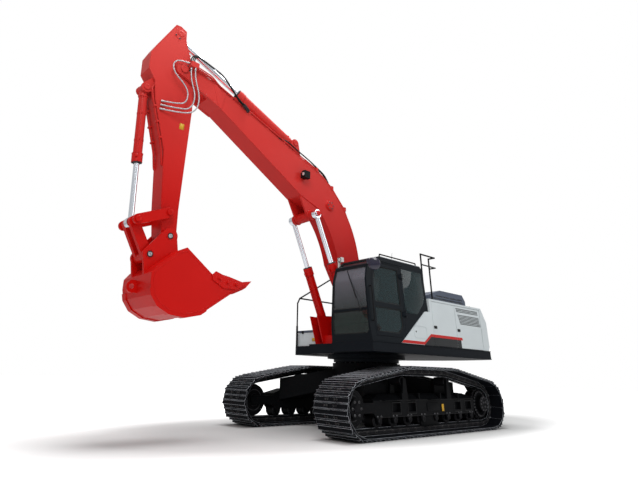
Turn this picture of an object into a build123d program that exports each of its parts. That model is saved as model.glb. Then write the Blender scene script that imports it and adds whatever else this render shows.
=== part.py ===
from build123d import *
import math
import os

os.makedirs("parts", exist_ok=True)

# ---------------------------------------------------------------- driving sizes (mm)
# x runs forward, y to the operator's left, z up; the slew axis is x = 0 while modelling,
# and every part is moved back by CENTRE_X at export so the origin is the footprint's middle.
CENTRE_X = 1450.0
FIT = 0.05              # radial running clearance of pins in bores
SEAT = 0.3              # gap between seated pieces
GAP = 8.0               # side gap between moving plates

# tracks
GAUGE_Y = 1300.0
SHOE_W = 740.0
WHEEL_X = 1990.0
END_R = 442.0
TOP_Z = 1090.0
CARRIER_X = 690.0
SHOE_COUNT = 48
GROUSER_H = 28.0
PLATE_T = 14.0
LINK_H = 110.0
PIN_DEPTH = 94.0        # pin line below the grouser tips
RAIL_IN = 42.0
RAIL_OUT = 96.0

# upper structure
SIDE_Y = 1460.0
DECK_Z0 = 1297.0
DECK_Z1 = 1472.0
TAIL_R = 2945.0
HOUSE_Z = 2365.0
CAB_FRONT_X = 1540.0
CAB_REAR_X = -310.0
CAB_Y0 = 480.0
CAB_ROOF_Z = 3010.0
CAB_WALL = 50.0
CAB_TAPER = 90.0        # each side leans in this much at roof height
CWT_X = -(TAIL_R - 645.0)       # front face of the counterweight

# attachment pins (x, z)
FOOT = (150.0, 1950.0)
BOOM_CYL_FOOT = (740.0, 1580.0)
BOOM_CYL_PIN = (1820.0, 3920.0)
ARM_CYL_BASE = (2260.0, 5490.0)
ARM_PIVOT = (5130.0, 6010.0)
ARM_CYL_PIN = (5280.0, 6800.0)
BUCKET_CYL_BASE = (5720.0, 5400.0)
ROCKER_PIVOT = (5020.0, 3220.0)
LINK_PIN = (5520.0, 3005.0)
BUCKET_EAR = (5220.0, 2520.0)
BUCKET_PIN = (4928.0, 2860.0)

# attachment widths (half widths, y)
BOOM_HALF = 210.0
BOSS_HALF = 226.0       # half width over the bosses of the boom's foot
ARM_HALF = 175.0
FORK_IN = 183.0
FORK_OUT = 233.0
BOOM_CYL_Y = 360.0
BUCKET_HALF = 500.0
EAR_IN = 183.0
EAR_OUT = 233.0
ROCKER_IN = 245.0
ROCKER_OUT = 290.0
WALL = 20.0             # plate thickness of boom and arm boxes


# ---------------------------------------------------------------- helpers
def wire_xz(points, y):
    return Wire.make_polygon([(x, y, z) for x, z in points], close=True)


def plate(points, y0, y1):
    """Polygon in the x-z plane, as thick as y0 to y1."""
    return extrude(Face(wire_xz(points, y0)), amount=y1 - y0, dir=(0, 1, 0))


def plate_yz(points, x0, x1):
    wire = Wire.make_polygon([(x0, y, z) for y, z in points], close=True)
    return extrude(Face(wire), amount=x1 - x0, dir=(1, 0, 0))


def plan(points, z0, z1):
    """Polygon in the x-y plane, as tall as z0 to z1."""
    wire = Wire.make_polygon([(x, y, z0) for x, y in points], close=True)
    return extrude(Face(wire), amount=z1 - z0, dir=(0, 0, 1))


def box(x0, x1, y0, y1, z0, z1):
    return Pos((x0 + x1) / 2, (y0 + y1) / 2, (z0 + z1) / 2) * Box(x1 - x0, y1 - y0, z1 - z0)


def cross(centre, r, y0, y1):
    """Cylinder along y at the (x, z) centre."""
    return Solid.make_cylinder(r, y1 - y0, Plane(origin=(centre[0], y0, centre[1]), z_dir=(0, 1, 0)))


def upright(x, y, r, z0, z1):
    return Solid.make_cylinder(r, z1 - z0, Plane(origin=(x, y, z0), z_dir=(0, 0, 1)))


def bar(p, q, r):
    """Round bar between two points."""
    a = Vector(*p)
    b = Vector(*q)
    return Solid.make_cylinder(r, (b - a).length, Plane(origin=a, z_dir=b - a))


def prism_y(centre, r, sides, y0, y1):
    """Regular prism along y with flat faces round it."""
    step = 2 * math.pi / sides
    return plate([(centre[0] + r * math.cos(step * (i + 0.5)), centre[1] + r * math.sin(step * (i + 0.5)))
                  for i in range(sides)], y0, y1)


def flat_bar(p, q, r):
    """Eight-sided bar between two points, for rails and pipes."""
    a, b = Vector(*p), Vector(*q)
    plane = Plane(origin=a, z_dir=b - a)
    ring = [plane.from_local_coords((r * math.cos(math.pi * (i + 0.5) / 4), r * math.sin(math.pi * (i + 0.5) / 4), 0))
            for i in range(8)]
    return extrude(Face(Wire.make_polygon(ring, close=True)), amount=(b - a).length, dir=plane.z_dir)


def hull_plate(c1, r1, c2, r2, y0, y1):
    """Flat link: the outline round two circles, in the x-z plane."""
    dx = c2[0] - c1[0]
    dz = c2[1] - c1[1]
    d = math.hypot(dx, dz)
    base = math.atan2(dz, dx)
    a = math.acos((r1 - r2) / d)
    p = [(c1[0] + r1 * math.cos(base + a), c1[1] + r1 * math.sin(base + a)),
         (c2[0] + r2 * math.cos(base + a), c2[1] + r2 * math.sin(base + a)),
         (c2[0] + r2 * math.cos(base - a), c2[1] + r2 * math.sin(base - a)),
         (c1[0] + r1 * math.cos(base - a), c1[1] + r1 * math.sin(base - a))]
    return plate(p, y0, y1) + cross(c1, r1, y0, y1) + cross(c2, r2, y0, y1)


def inset(points, d):
    """The polygon's points moved inwards by d, edges kept parallel."""
    n = len(points)
    area = sum(points[i - 1][0] * points[i][1] - points[i][0] * points[i - 1][1] for i in range(n))
    turn = 1.0 if area > 0 else -1.0
    out = []
    for i in range(n):
        (ax, az), (bx, bz), (cx, cz) = points[i - 1], points[i], points[(i + 1) % n]
        l1 = math.hypot(bx - ax, bz - az)
        l2 = math.hypot(cx - bx, cz - bz)
        n1 = (-(bz - az) / l1 * turn, (bx - ax) / l1 * turn)
        n2 = (-(cz - bz) / l2 * turn, (cx - bx) / l2 * turn)
        k = d / (1.0 + n1[0] * n2[0] + n1[1] * n2[1])
        out.append((bx + (n1[0] + n2[0]) * k, bz + (n1[1] + n2[1]) * k))
    return out


def arc_points(p, m, q, steps):
    """Points on the arc from p through m to q, both ends included."""
    ax, az = m[0] - p[0], m[1] - p[1]
    bx, bz = q[0] - p[0], q[1] - p[1]
    d = 2 * (ax * bz - az * bx)
    ux = (bz * (ax * ax + az * az) - az * (bx * bx + bz * bz)) / d
    uz = (ax * (bx * bx + bz * bz) - bx * (ax * ax + az * az)) / d
    cx, cz = p[0] + ux, p[1] + uz
    r = math.hypot(ux, uz)
    a0 = math.atan2(p[1] - cz, p[0] - cx)
    a1 = math.atan2(q[1] - cz, q[0] - cx)
    sweep = (a1 - a0 + math.pi) % (2 * math.pi) - math.pi
    return [(cx + r * math.cos(a0 + sweep * i / steps), cz + r * math.sin(a0 + sweep * i / steps))
            for i in range(steps + 1)]


def mirrored(shape):
    return mirror(shape, about=Plane.XZ)


def both(shape):
    return Compound(children=[shape, mirrored(shape)])


def place(shape):
    return Pos(-CENTRE_X, 0, 0) * shape


# ---------------------------------------------------------------- track loop
def track_path(depth):
    """Segments of the loop this deep inside the grouser tips: (kind, data, length)."""
    end = END_R - depth
    over = 238.0 - depth
    over_z = TOP_Z - 238.0
    dx = WHEEL_X - CARRIER_X
    dz = END_R - over_z
    d = math.hypot(dx, dz)
    lean = math.atan2(-dz, dx) - math.asin((end - over) / d)
    run = math.sqrt(d * d - (end - over) ** 2)
    return end, over, over_z, lean, run


def track_point(s, depth):
    """Point at distance s along the loop at this depth, starting under the rear wheel."""
    end, over, over_z, lean, run = track_path(depth)
    legs = [2 * WHEEL_X, (math.pi - lean) * end, run, lean * over, 2 * CARRIER_X,
            lean * over, run, (math.pi - lean) * end]
    total = sum(legs)
    s = s % total
    k = 0
    while s > legs[k]:
        s -= legs[k]
        k += 1
    if k == 0:
        return (-WHEEL_X + s, depth)
    if k == 1:
        a = -math.pi / 2 + s / end
        return (WHEEL_X + end * math.cos(a), END_R + end * math.sin(a))
    if k in (2, 6):
        t = s if k == 2 else run - s
        a = math.pi / 2 - lean
        x = WHEEL_X + end * math.cos(a) - t * math.cos(lean)
        z = END_R + end * math.sin(a) + t * math.sin(lean)
        return (x, z) if k == 2 else (-x, z)
    if k in (3, 5):
        t = s if k == 3 else lean * over - s
        a = math.pi / 2 - lean + t / over
        x = CARRIER_X + over * math.cos(a)
        z = over_z + over * math.sin(a)
        return (x, z) if k == 3 else (-x, z)
    if k == 4:
        return (CARRIER_X - s, TOP_Z - depth)
    a = math.pi / 2 + lean + s / end
    return (-WHEEL_X + end * math.cos(a), END_R + end * math.sin(a))


def track_length(depth):
    end, over, over_z, lean, run = track_path(depth)
    return 2 * WHEEL_X + 2 * (math.pi - lean) * end + 2 * run + 2 * lean * over + 2 * CARRIER_X


# one shoe: (fraction of the pitch, height above the pin line)
SHOE_PROFILE = [(0.03, PIN_DEPTH - GROUSER_H - 6), (0.07, PIN_DEPTH), (0.13, PIN_DEPTH - GROUSER_H),
                (0.46, PIN_DEPTH - GROUSER_H), (0.51, PIN_DEPTH), (0.56, PIN_DEPTH - GROUSER_H),
                (0.89, PIN_DEPTH - GROUSER_H), (0.95, PIN_DEPTH)]
PLATE_IN = PIN_DEPTH - GROUSER_H - PLATE_T - 6
RAIL_DEPTH = LINK_H - PLATE_IN


def track_pins():
    total = track_length(PIN_DEPTH)
    return [track_point(i * total / SHOE_COUNT + 40.0, PIN_DEPTH) for i in range(SHOE_COUNT)]


def shoe_points(p, q, profile):
    """The profile's points in the frame of the link from pin p to pin q."""
    dx = (q[0] - p[0])
    dz = (q[1] - p[1])
    d = math.hypot(dx, dz)
    ux, uz = dx / d, dz / d
    nx, nz = uz, -ux
    return [(p[0] + ux * f * d + nx * h, p[1] + uz * f * d + nz * h) for f, h in profile]


def make_track():
    pins = track_pins()
    outer, inner, rail_out, rail_in = [], [], [], []
    for i in range(SHOE_COUNT):
        p = pins[i]
        q = pins[(i + 1) % SHOE_COUNT]
        r = pins[i - 1]
        outer += shoe_points(p, q, SHOE_PROFILE)
        inner += shoe_points(p, q, [(0.5, PLATE_IN)])
        rail_out += shoe_points(p, q, [(0.5, PLATE_IN + PLATE_T / 2)])
        tx, tz = q[0] - r[0], q[1] - r[1]
        d = math.hypot(tx, tz)
        rail_in.append((p[0] - tz / d * RAIL_DEPTH, p[1] + tx / d * RAIL_DEPTH))
    y = GAUGE_Y
    belt = plate(outer, y - SHOE_W / 2, y + SHOE_W / 2) - plate(inner, y - SHOE_W, y + SHOE_W)
    ring = plate(rail_out, y - RAIL_OUT, y + RAIL_OUT) - plate(rail_in, y - SHOE_W, y + SHOE_W)
    ring -= box(-3000, 3000, y - RAIL_IN, y + RAIL_IN, -100, 1300)
    return belt + ring


# ---------------------------------------------------------------- wheels
RAIL_Z = PIN_DEPTH + RAIL_DEPTH         # top face of the lower rail run
ROLLER_R = 88.0
ROLLER_Z = RAIL_Z + SEAT + ROLLER_R
ROLLER_XS = [-1420.0, -1010.0, -600.0, -200.0, 200.0, 600.0, 1010.0, 1420.0]
IDLER_R = (END_R - PIN_DEPTH - RAIL_DEPTH) * math.cos(math.pi / 10) - 3.0
CARRIER_R = 74.0
CARRIER_Z = TOP_Z - RAIL_Z - 12.0 - CARRIER_R
DRIVE_R = IDLER_R - 77.0
FRAME_HALF = 165.0
LUG_IN = 118.0          # inner faces of the lugs that hold rollers and idler
FRAME_TOP = 640.0
FRAME_BOTTOM = ROLLER_Z + ROLLER_R + 22.0


def make_roller(x, z, r):
    """Plain roller whose ends are seated between the frame's lugs."""
    return cross((x, z), r, GAUGE_Y - LUG_IN + SEAT, GAUGE_Y + LUG_IN - SEAT)


def make_bottom_rollers():
    one_side = [make_roller(x, ROLLER_Z, ROLLER_R) for x in ROLLER_XS]
    return Compound(children=one_side + [mirrored(s) for s in one_side])


def make_carrier_rollers():
    xs = (-CARRIER_X, CARRIER_X)
    one_side = [make_roller(x, CARRIER_Z, CARRIER_R) for x in xs]
    return Compound(children=one_side + [mirrored(s) for s in one_side])


def make_idler():
    """Wheel with a middle flange and a hub as wide as the fork."""
    c = (WHEEL_X, END_R)
    y = GAUGE_Y
    wheel = cross(c, IDLER_R, y - 98, y + 98) + cross(c, IDLER_R + 18, y - 34, y + 34)
    return wheel + cross(c, 105, y - LUG_IN + SEAT, y + LUG_IN - SEAT)


SPROCKET_TEETH = 21


def make_sprocket():
    tip = IDLER_R + 26.0
    root = IDLER_R - 16.0
    points = []
    for i in range(SPROCKET_TEETH):
        for f, r in ((0.0, root), (0.30, root), (0.50, tip), (0.80, tip)):
            a = 2 * math.pi * (i + f) / SPROCKET_TEETH
            points.append((-WHEEL_X + r * math.cos(a), END_R + r * math.sin(a)))
    disc = plate(points, GAUGE_Y - 32, GAUGE_Y + 32)
    return disc - cross((-WHEEL_X, END_R), DRIVE_R + SEAT, GAUGE_Y - 50, GAUGE_Y + 50)


def make_final_drive():
    c = (-WHEEL_X, END_R)
    y = GAUGE_Y
    body = cross(c, DRIVE_R, y - 165, y + 60)
    body += cross(c, DRIVE_R + 45, y + 32 + SEAT, y + 62)
    body += cross(c, DRIVE_R - 40, y + 60, y + 140)
    body += prism_y(c, DRIVE_R - 35, 12, y - 330, y - 165)
    return body


SHOULDER_Z = 545.0      # top of the frame's outer wall, under its sloping top
SKIRT_Z = 300.0
WINDOWS_X = [960.0, 520.0, -950.0, -1330.0]
WINDOW = (230.0, 165.0, 60.0)       # length, height and depth of a recess in the frame's side
BRACKETS_X = [770.0, 280.0, -400.0, -1010.0]
CAP_R = 150.0


def make_track_frame():
    """Box frame with a sloping top, recesses in its side, a fork for the idler, lugs at every roller
    and a collar for the drive."""
    y = GAUGE_Y
    out = y + FRAME_HALF
    side = [(-1560, FRAME_BOTTOM), (1560, FRAME_BOTTOM), (1560, 560), (1300, FRAME_TOP),
            (-1350, FRAME_TOP), (-1560, 580)]
    body = plate(side, y - FRAME_HALF, out)
    body -= plate_yz([(out + 1, SHOULDER_Z), (out + 1, FRAME_TOP + 50), (y + 40, FRAME_TOP + 50),
                      (y + 40, FRAME_TOP)], -1700, 1700)
    length, height, depth = WINDOW
    for x in WINDOWS_X:
        z = (FRAME_BOTTOM + SHOULDER_Z) / 2
        body -= box(x - length / 2, x + length / 2, out - depth, out + 5, z - height / 2, z + height / 2)
    for x in BRACKETS_X:
        body += plate_yz([(out, SHOULDER_Z - 60), (out, SHOULDER_Z + 110), (y + 70, SHOULDER_Z + 110),
                          (y + 70, SHOULDER_Z - 10)], x - 12, x + 12)
    for y0, y1 in ((y - FRAME_HALF, y - LUG_IN), (y + LUG_IN, out)):
        fork = [(1400, END_R - 75), (WHEEL_X + 60, END_R - 75), (WHEEL_X + 115, END_R - 40),
                (WHEEL_X + 115, END_R + 40), (WHEEL_X + 60, END_R + 75), (1400, END_R + 75)]
        body += plate(fork, y0, y1)
        body += plate([(-1500, SKIRT_Z), (1500, SKIRT_Z), (1560, FRAME_BOTTOM + 5), (-1560, FRAME_BOTTOM + 5)], y0, y1)
        for x in ROLLER_XS:
            body += plate([(x - 70, SKIRT_Z + 5), (x - 45, ROLLER_Z - 40), (x + 45, ROLLER_Z - 40),
                           (x + 70, SKIRT_Z + 5)], y0, y1)
        for x in (-CARRIER_X, CARRIER_X):
            body += plate([(x - 80, SHOULDER_Z - 5), (x + 80, SHOULDER_Z - 5), (x + 40, CARRIER_Z + 42),
                           (x - 40, CARRIER_Z + 42)], y0, y1)
    body += cross((WHEEL_X, END_R), CAP_R, out - 10, out + 26)
    body += cross((-WHEEL_X, END_R), DRIVE_R + 50, y - FRAME_HALF, y - 105)
    body += box(-WHEEL_X, -1500, y - FRAME_HALF, y - 105, END_R - 90, END_R + 130)
    return body - cross((-WHEEL_X, END_R), DRIVE_R + SEAT, y - 200, y + 100)


# ---------------------------------------------------------------- carbody and slew ring
RING_FIXED_R = 560.0
RING_MOVING_R = 680.0
PEDESTAL_Z = 1140.0


def make_leg():
    """Front left leg, from the hub to the inside of the track frame, tapered in plan and in height."""
    y0, y1 = 250.0, GAUGE_Y - FRAME_HALF
    leg = plan([(150, y0), (640, y0), (1400, y1), (800, y1)], 400, 1100)
    return leg & plate_yz([(y0, 690), (y1, 440), (y1, 830), (y0, 1040)], 0, 1500)


def make_carbody():
    hub = upright(0, 0, 720, 660, 1060) + upright(0, 0, 700, 1060, PEDESTAL_Z)
    leg = make_leg()
    rear = mirror(leg, about=Plane.YZ)
    body = hub + leg + rear + mirrored(leg) + mirrored(rear)
    return body - upright(0, 0, 300, 600, 1200)


def make_ring_fixed():
    return upright(0, 0, RING_FIXED_R, PEDESTAL_Z, 1250) - upright(0, 0, 430, 1100, 1300)


def make_ring_moving():
    outer = upright(0, 0, RING_MOVING_R, 1160, DECK_Z0)
    return outer - upright(0, 0, RING_FIXED_R + FIT, 1100, 1300)


# ---------------------------------------------------------------- upper frame
def tail_points(r, half, steps):
    """Points of the tail's arc about the slew axis, from left to right."""
    a0 = math.asin(half / r)
    return [(-r * math.cos(a0 - 2 * a0 * i / steps), r * math.sin(a0 - 2 * a0 * i / steps))
            for i in range(steps + 1)]


DECK_NOSE_X = 770.0      # front edge of the deck's right side


def make_deck():
    corner = [(DECK_NOSE_X - 120 + 120 * math.cos(a), -SIDE_Y + 120 - 120 * math.sin(a))
              for a in (0, math.pi / 8, math.pi / 4, 3 * math.pi / 8, math.pi / 2)]
    outline = [(1500, SIDE_Y), (1500, 470), (1180, 470), (1180, -500), (DECK_NOSE_X, -500)] + corner
    outline += list(reversed(tail_points(TAIL_R, SIDE_Y, 10)))
    deck = plan(outline, DECK_Z0, DECK_Z1)
    skirt = upright(0, 0, 810, 1225, DECK_Z0) - upright(0, 0, RING_MOVING_R + 2, 1200, 1400)
    for bore in pivot_bores():
        deck -= bore
    return deck + skirt


INNER = [(-250, DECK_Z1), (-30, 1950), (30, 2070), (150, 2120), (300, 2100), (520, 2050),
         (1195, 2010), (1020, DECK_Z1)]
OUTER = [(330, DECK_Z1), (400, 1800), (620, 2010), (1195, 2010), (1020, DECK_Z1)]
FOOT_PIN_R = 55.0
CYL_PIN_R = 45.0
BOOM_CYL_R = 84.0
INNER_Y = (BOSS_HALF + 5.0, BOOM_CYL_Y - BOOM_CYL_R - 10.0)
OUTER_Y = (BOOM_CYL_Y + BOOM_CYL_R + 6.0, 472.0)


def make_boom_bracket():
    """Four upright plates: the boom's foot turns between the inner two, a cylinder in each slot."""
    body = box(-250, 1020, -OUTER_Y[1], OUTER_Y[1], DECK_Z1, DECK_Z1 + 12)
    body += box(940, 1000, -INNER_Y[0] - 5, INNER_Y[0] + 5, DECK_Z1, 1640)
    half = plate(INNER, INNER_Y[0], INNER_Y[1]) + plate(OUTER, OUTER_Y[0], OUTER_Y[1])
    half += cross(BOOM_CYL_FOOT, CYL_PIN_R, INNER_Y[1] - 5, OUTER_Y[0] + 5)
    return body + half + mirrored(half) + cross(FOOT, FOOT_PIN_R, -INNER_Y[1], INNER_Y[1])


# ---------------------------------------------------------------- boom
def boom_points():
    front = arc_points((1030, 3070), (1290, 3700), (1620, 4120), 6)
    rear = arc_points((1640, 4975), (830, 4310), (370, 3270), 10)
    return [(310, 1900)] + front + [(2140, 4300), (4300, 5540), (4560, 5630), (4450, 6000)] + rear + [(-5, 2000)]


FORK = [(4250, 5510), (4760, 5700), (5050, 5835), (5250, 5900), (5310, 6030), (5270, 6150),
        (5130, 6205), (4930, 6165), (4400, 5985), (4200, 5800)]


PIPE_R = 19.0
PIPE_UP = 34.0
PIPES_Y = [60.0, 130.0, 185.0]
PIPE_LINE = [(560, 3870), (800, 4330), (1200, 4735), (1680, 5040), (2000, 5155)]
HOSE_BLOCK = (4900.0, 5060.0, 215.0, 365.0, 6060.0, 6175.0)     # where the joint's hoses leave the boom


def make_boom():
    body = plate(boom_points(), -BOOM_HALF, BOOM_HALF)
    body -= plate(inset(boom_points(), WALL), -BOOM_HALF + WALL, BOOM_HALF - WALL)
    body += cross(FOOT, 150, -BOSS_HALF, BOSS_HALF)
    body += cross(BOOM_CYL_PIN, 105, -295, 295)
    gusset = [(1480, 3960), (1720, 3880), (1900, 3840), (1960, 3960), (2150, 4310), (1700, 4200)]
    for y0 in (-200, 160):
        body += plate(gusset, y0, y0 + 40)
    body += cross((1270, 4270), 110, BOOM_HALF - 5, BOOM_HALF + 30)
    for s in (-1, 1):
        body += plate(FORK, min(s * FORK_IN, s * FORK_OUT), max(s * FORK_IN, s * FORK_OUT))
        ear = hull_plate(ARM_CYL_BASE, 95, (2260, 5230), 150, min(s * 108, s * 146), max(s * 108, s * 146))
        body += ear - box(1900, 2700, -200, 200, 4900, 5195)
    for y in PIPES_Y:
        body += tube([(x, y, z) for x, z in PIPE_LINE], PIPE_R)
    for x, z in PIPE_LINE[1:-1]:
        body += box(x - 45, x + 15, PIPES_Y[0] - 40, PIPES_Y[-1] + 40, z - PIPE_UP - 40, z + PIPE_R - 3)
    body += box(*HOSE_BLOCK)
    body -= cross(FOOT, FOOT_PIN_R + FIT, -300, 300)
    body += cross(ARM_PIVOT, 60, -FORK_OUT - 20, FORK_OUT + 20)
    body += cross(ARM_CYL_BASE, 50, -156, 156)
    return body


# ---------------------------------------------------------------- arm
def arm_points():
    return [(4905, 5960), (4830, 5280), (4825, 3330), (4800, 2900), (4860, 2750), (4990, 2745),
            (5060, 2860), (5140, 3340), (5250, 4300), (5560, 5220), (5620, 5560), (5770, 5760),
            (5790, 6090), (5700, 6320), (5400, 6950), (5300, 6960), (5170, 6900), (5150, 6690),
            (5010, 6330), (4930, 6100)]


def make_arm():
    body = plate(arm_points(), -ARM_HALF, ARM_HALF)
    body -= plate(inset(arm_points(), WALL), -ARM_HALF + WALL, ARM_HALF - WALL)
    # open slot at the top end for the arm cylinder's rod eye
    x, z = ARM_CYL_PIN
    body -= box(x - 380, x + 320, -75, 75, z - 380, z + 300)
    body += box(x - 270, x + 360, -ARM_HALF + 5, ARM_HALF - 5, z - 400, z - 380)
    body += cross(ARM_PIVOT, 150, -ARM_HALF - 5, ARM_HALF + 5)
    body += cross(BUCKET_PIN, 118, -ARM_HALF - 5, ARM_HALF + 5)
    body += cross(ROCKER_PIVOT, 75, -ARM_HALF - 5, ARM_HALF + 5)
    for s in (-1, 1):
        body += hull_plate(BUCKET_CYL_BASE, 95, (5560, 5560), 110, min(s * 86, s * 122), max(s * 86, s * 122))
        body += cross(ARM_CYL_PIN, 110, min(s * 80, s * 180), max(s * 80, s * 180))
    body += cross(BUCKET_CYL_BASE, 45, -132, 132)
    body += cross(ROCKER_PIVOT, 40, -ROCKER_OUT - 20, ROCKER_OUT + 20)
    body -= cross(ARM_PIVOT, 60 + FIT, -300, 300)
    body -= cross(BUCKET_PIN, 50 + FIT, -300, 300)
    return body


# ---------------------------------------------------------------- cylinders
def along(p, q, t):
    """Point at distance t from p towards q, in the x-z plane."""
    d = math.hypot(q[0] - p[0], q[1] - p[1])
    return (p[0] + (q[0] - p[0]) * t / d, p[1] + (q[1] - p[1]) * t / d)


def barrel(base, rod_end, y, length, r, bore, eye_r, eye_half, pin_r):
    """Barrel with its base eye round a pin; the bore is a running fit on the rod's piston."""
    a = along(base, rod_end, 0.8 * eye_r)
    b = along(base, rod_end, length)
    g = along(base, rod_end, length - 160)
    m = along(base, rod_end, 2.2 * eye_r)
    e = along(base, rod_end, length + 20)
    body = bar((a[0], y, a[1]), (b[0], y, b[1]), r)
    body += bar((g[0], y, g[1]), (b[0], y, b[1]), r + 14)
    body -= bar((m[0], y, m[1]), (e[0], y, e[1]), bore + FIT)
    body += cross(base, eye_r, y - eye_half, y + eye_half)
    return body - cross(base, pin_r + FIT, y - 2 * eye_half, y + 2 * eye_half)


def rod(base, rod_end, y, inside, r, eye_r, eye_half):
    """Rod from its piston's end, at 'inside' from the base, to a solid eye on its pin."""
    a = along(base, rod_end, inside)
    body = bar((a[0], y, a[1]), (rod_end[0], y, rod_end[1]), r)
    return body + cross(rod_end, eye_r, y - eye_half, y + eye_half)


BOOM_BARREL = 1530.0
ARM_BARREL = 1660.0
BUCKET_BARREL = 1390.0


def make_boom_barrel():
    return barrel(BOOM_CYL_FOOT, BOOM_CYL_PIN, BOOM_CYL_Y, BOOM_BARREL, BOOM_CYL_R, 48, 84, 66, CYL_PIN_R)


def make_boom_rod():
    body = rod(BOOM_CYL_FOOT, BOOM_CYL_PIN, BOOM_CYL_Y, 775, 48, 88, 54)
    return body + cross(BOOM_CYL_PIN, 45, BOOM_CYL_Y, BOOM_CYL_Y + 75)


def make_arm_barrel():
    return barrel(ARM_CYL_BASE, ARM_CYL_PIN, 0, ARM_BARREL, 98, 55, 90, 100, 50)


def make_arm_rod():
    return rod(ARM_CYL_BASE, ARM_CYL_PIN, 0, 1310, 55, 100, 68)


def make_bucket_barrel():
    return barrel(BUCKET_CYL_BASE, LINK_PIN, 0, BUCKET_BARREL, 76, 45, 84, 78, 45)


def make_bucket_rod():
    return rod(BUCKET_CYL_BASE, LINK_PIN, 0, 950, 45, 88, 55)


# ---------------------------------------------------------------- bucket linkage
def make_rocker():
    body = hull_plate(ROCKER_PIVOT, 85, LINK_PIN, 80, ROCKER_IN, ROCKER_OUT)
    body += cross(LINK_PIN, 42, ROCKER_IN - 15, ROCKER_OUT + 20)
    return body - cross(ROCKER_PIVOT, 40 + FIT, 0, 400)


def make_link():
    body = cross(BUCKET_EAR, 88, -EAR_IN + 6, EAR_IN - 6)
    for s in (-1, 1):
        y0, y1 = min(s * 70, s * 150), max(s * 70, s * 150)
        body += hull_plate(BUCKET_EAR, 84, LINK_PIN, 80, y0, y1)
        body += cross(LINK_PIN, 42, min(s * 62, s * 215), max(s * 62, s * 215))
    return body - cross(BUCKET_EAR, 48 + FIT, -300, 300)


# ---------------------------------------------------------------- bucket
SHELL_OUT = [(3620, 2225), (4380, 1700), (4640, 1640), (4900, 1665), (5100, 1760), (5215, 1900),
             (5260, 2060), (5265, 2210), (5190, 2310), (4860, 2600), (4740, 2665)]


BUCKET_T = 25.0
STRIP_T = 14.0          # wear strips round the shell
# side cutter bolted over each front corner
CUTTER = [(3598, 2258), (3640, 2212), (3770, 2135), (4020, 2130), (4120, 2180), (4235, 2235), (4250, 2312),
          (4185, 2375), (4060, 2338), (3930, 2322), (3690, 2276)]


def make_bucket():
    side = SHELL_OUT + [(4240, 2320)]
    body = plate(side, -BUCKET_HALF, BUCKET_HALF)
    core = plate(inset(side, BUCKET_T), -BUCKET_HALF + BUCKET_T, BUCKET_HALF - BUCKET_T)
    mouth = plate([(3634, 2246), (3700, 2200), (4240, 2288), (4700, 2605), (4745, 2640), (4700, 2900),
                   (3600, 2700), (3540, 2260)], -BUCKET_HALF + BUCKET_T, BUCKET_HALF - BUCKET_T)
    body = body - core - mouth
    for s in (-1, 1):
        y0, y1 = min(s * EAR_IN, s * EAR_OUT), max(s * EAR_IN, s * EAR_OUT)
        ear = hull_plate(BUCKET_PIN, 130, BUCKET_EAR, 115, y0, y1)
        ear += plate([(4800, 2830), (5320, 2480), (5262, 2200), (5185, 2305), (4860, 2595), (4760, 2645)], y0, y1)
        body += ear
    body += cross(BUCKET_PIN, 50, -EAR_OUT - 6, EAR_OUT + 6)
    body += cross(BUCKET_EAR, 48, -EAR_OUT - 6, EAR_OUT + 6)
    skin = plate(inset(side, -STRIP_T), -BUCKET_HALF, BUCKET_HALF) - plate(side, -BUCKET_HALF - 5, BUCKET_HALF + 5)
    skin &= box(4280, 5300, -700, 700, 1500, 1990)
    for s in (-1, 1):
        body += skin & box(4000, 5400, *sorted((s * (BUCKET_HALF - 130), s * (BUCKET_HALF + 5))), 1500, 2100)
        body += plate(CUTTER, *sorted((s * (BUCKET_HALF - 3), s * (BUCKET_HALF + 20))))
    eye = cross((5320, 2050), 95, -22, 22) + box(5230, 5320, -22, 22, 1960, 2140)
    eye -= cross((5335, 2050), 38, -60, 60)
    return body + eye


TEETH_Y = [-420.0, -210.0, 0.0, 210.0, 420.0]
# one tooth: (distance back from the lip's edge, depth below the shell's outer face)
TOOTH = [(-202, 24), (-40, 62), (40, 58), (236, 26), (240, SEAT), (-14, SEAT), (-14, -BUCKET_T - SEAT),
         (110, -BUCKET_T - SEAT), (104, -BUCKET_T - 22), (20, -BUCKET_T - 36), (-50, -44)]


def make_teeth():
    """Five adapters with their points, astride the lip."""
    (ax, az), (bx, bz) = SHELL_OUT[0], SHELL_OUT[1]
    d = math.hypot(bx - ax, bz - az)
    ux, uz = (bx - ax) / d, (bz - az) / d
    outline = [(ax + ux * s + uz * t, az + uz * s - ux * t) for s, t in TOOTH]
    return Compound(children=[plate(outline, y - 46, y + 46) for y in TEETH_Y])


# ---------------------------------------------------------------- cab
CAB_Z0 = DECK_Z1 + SEAT
DIAG_TOP = (-180.0, 2110.0)
DIAG_FOOT = (690.0, CAB_Z0)
DOOR_X0 = 500.0
DOOR_GAP = 6.0
PANEL_T = 40.0          # service doors and side covers
GLASS_IN = 20.0
GLASS_OUT = 27.0


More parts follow.
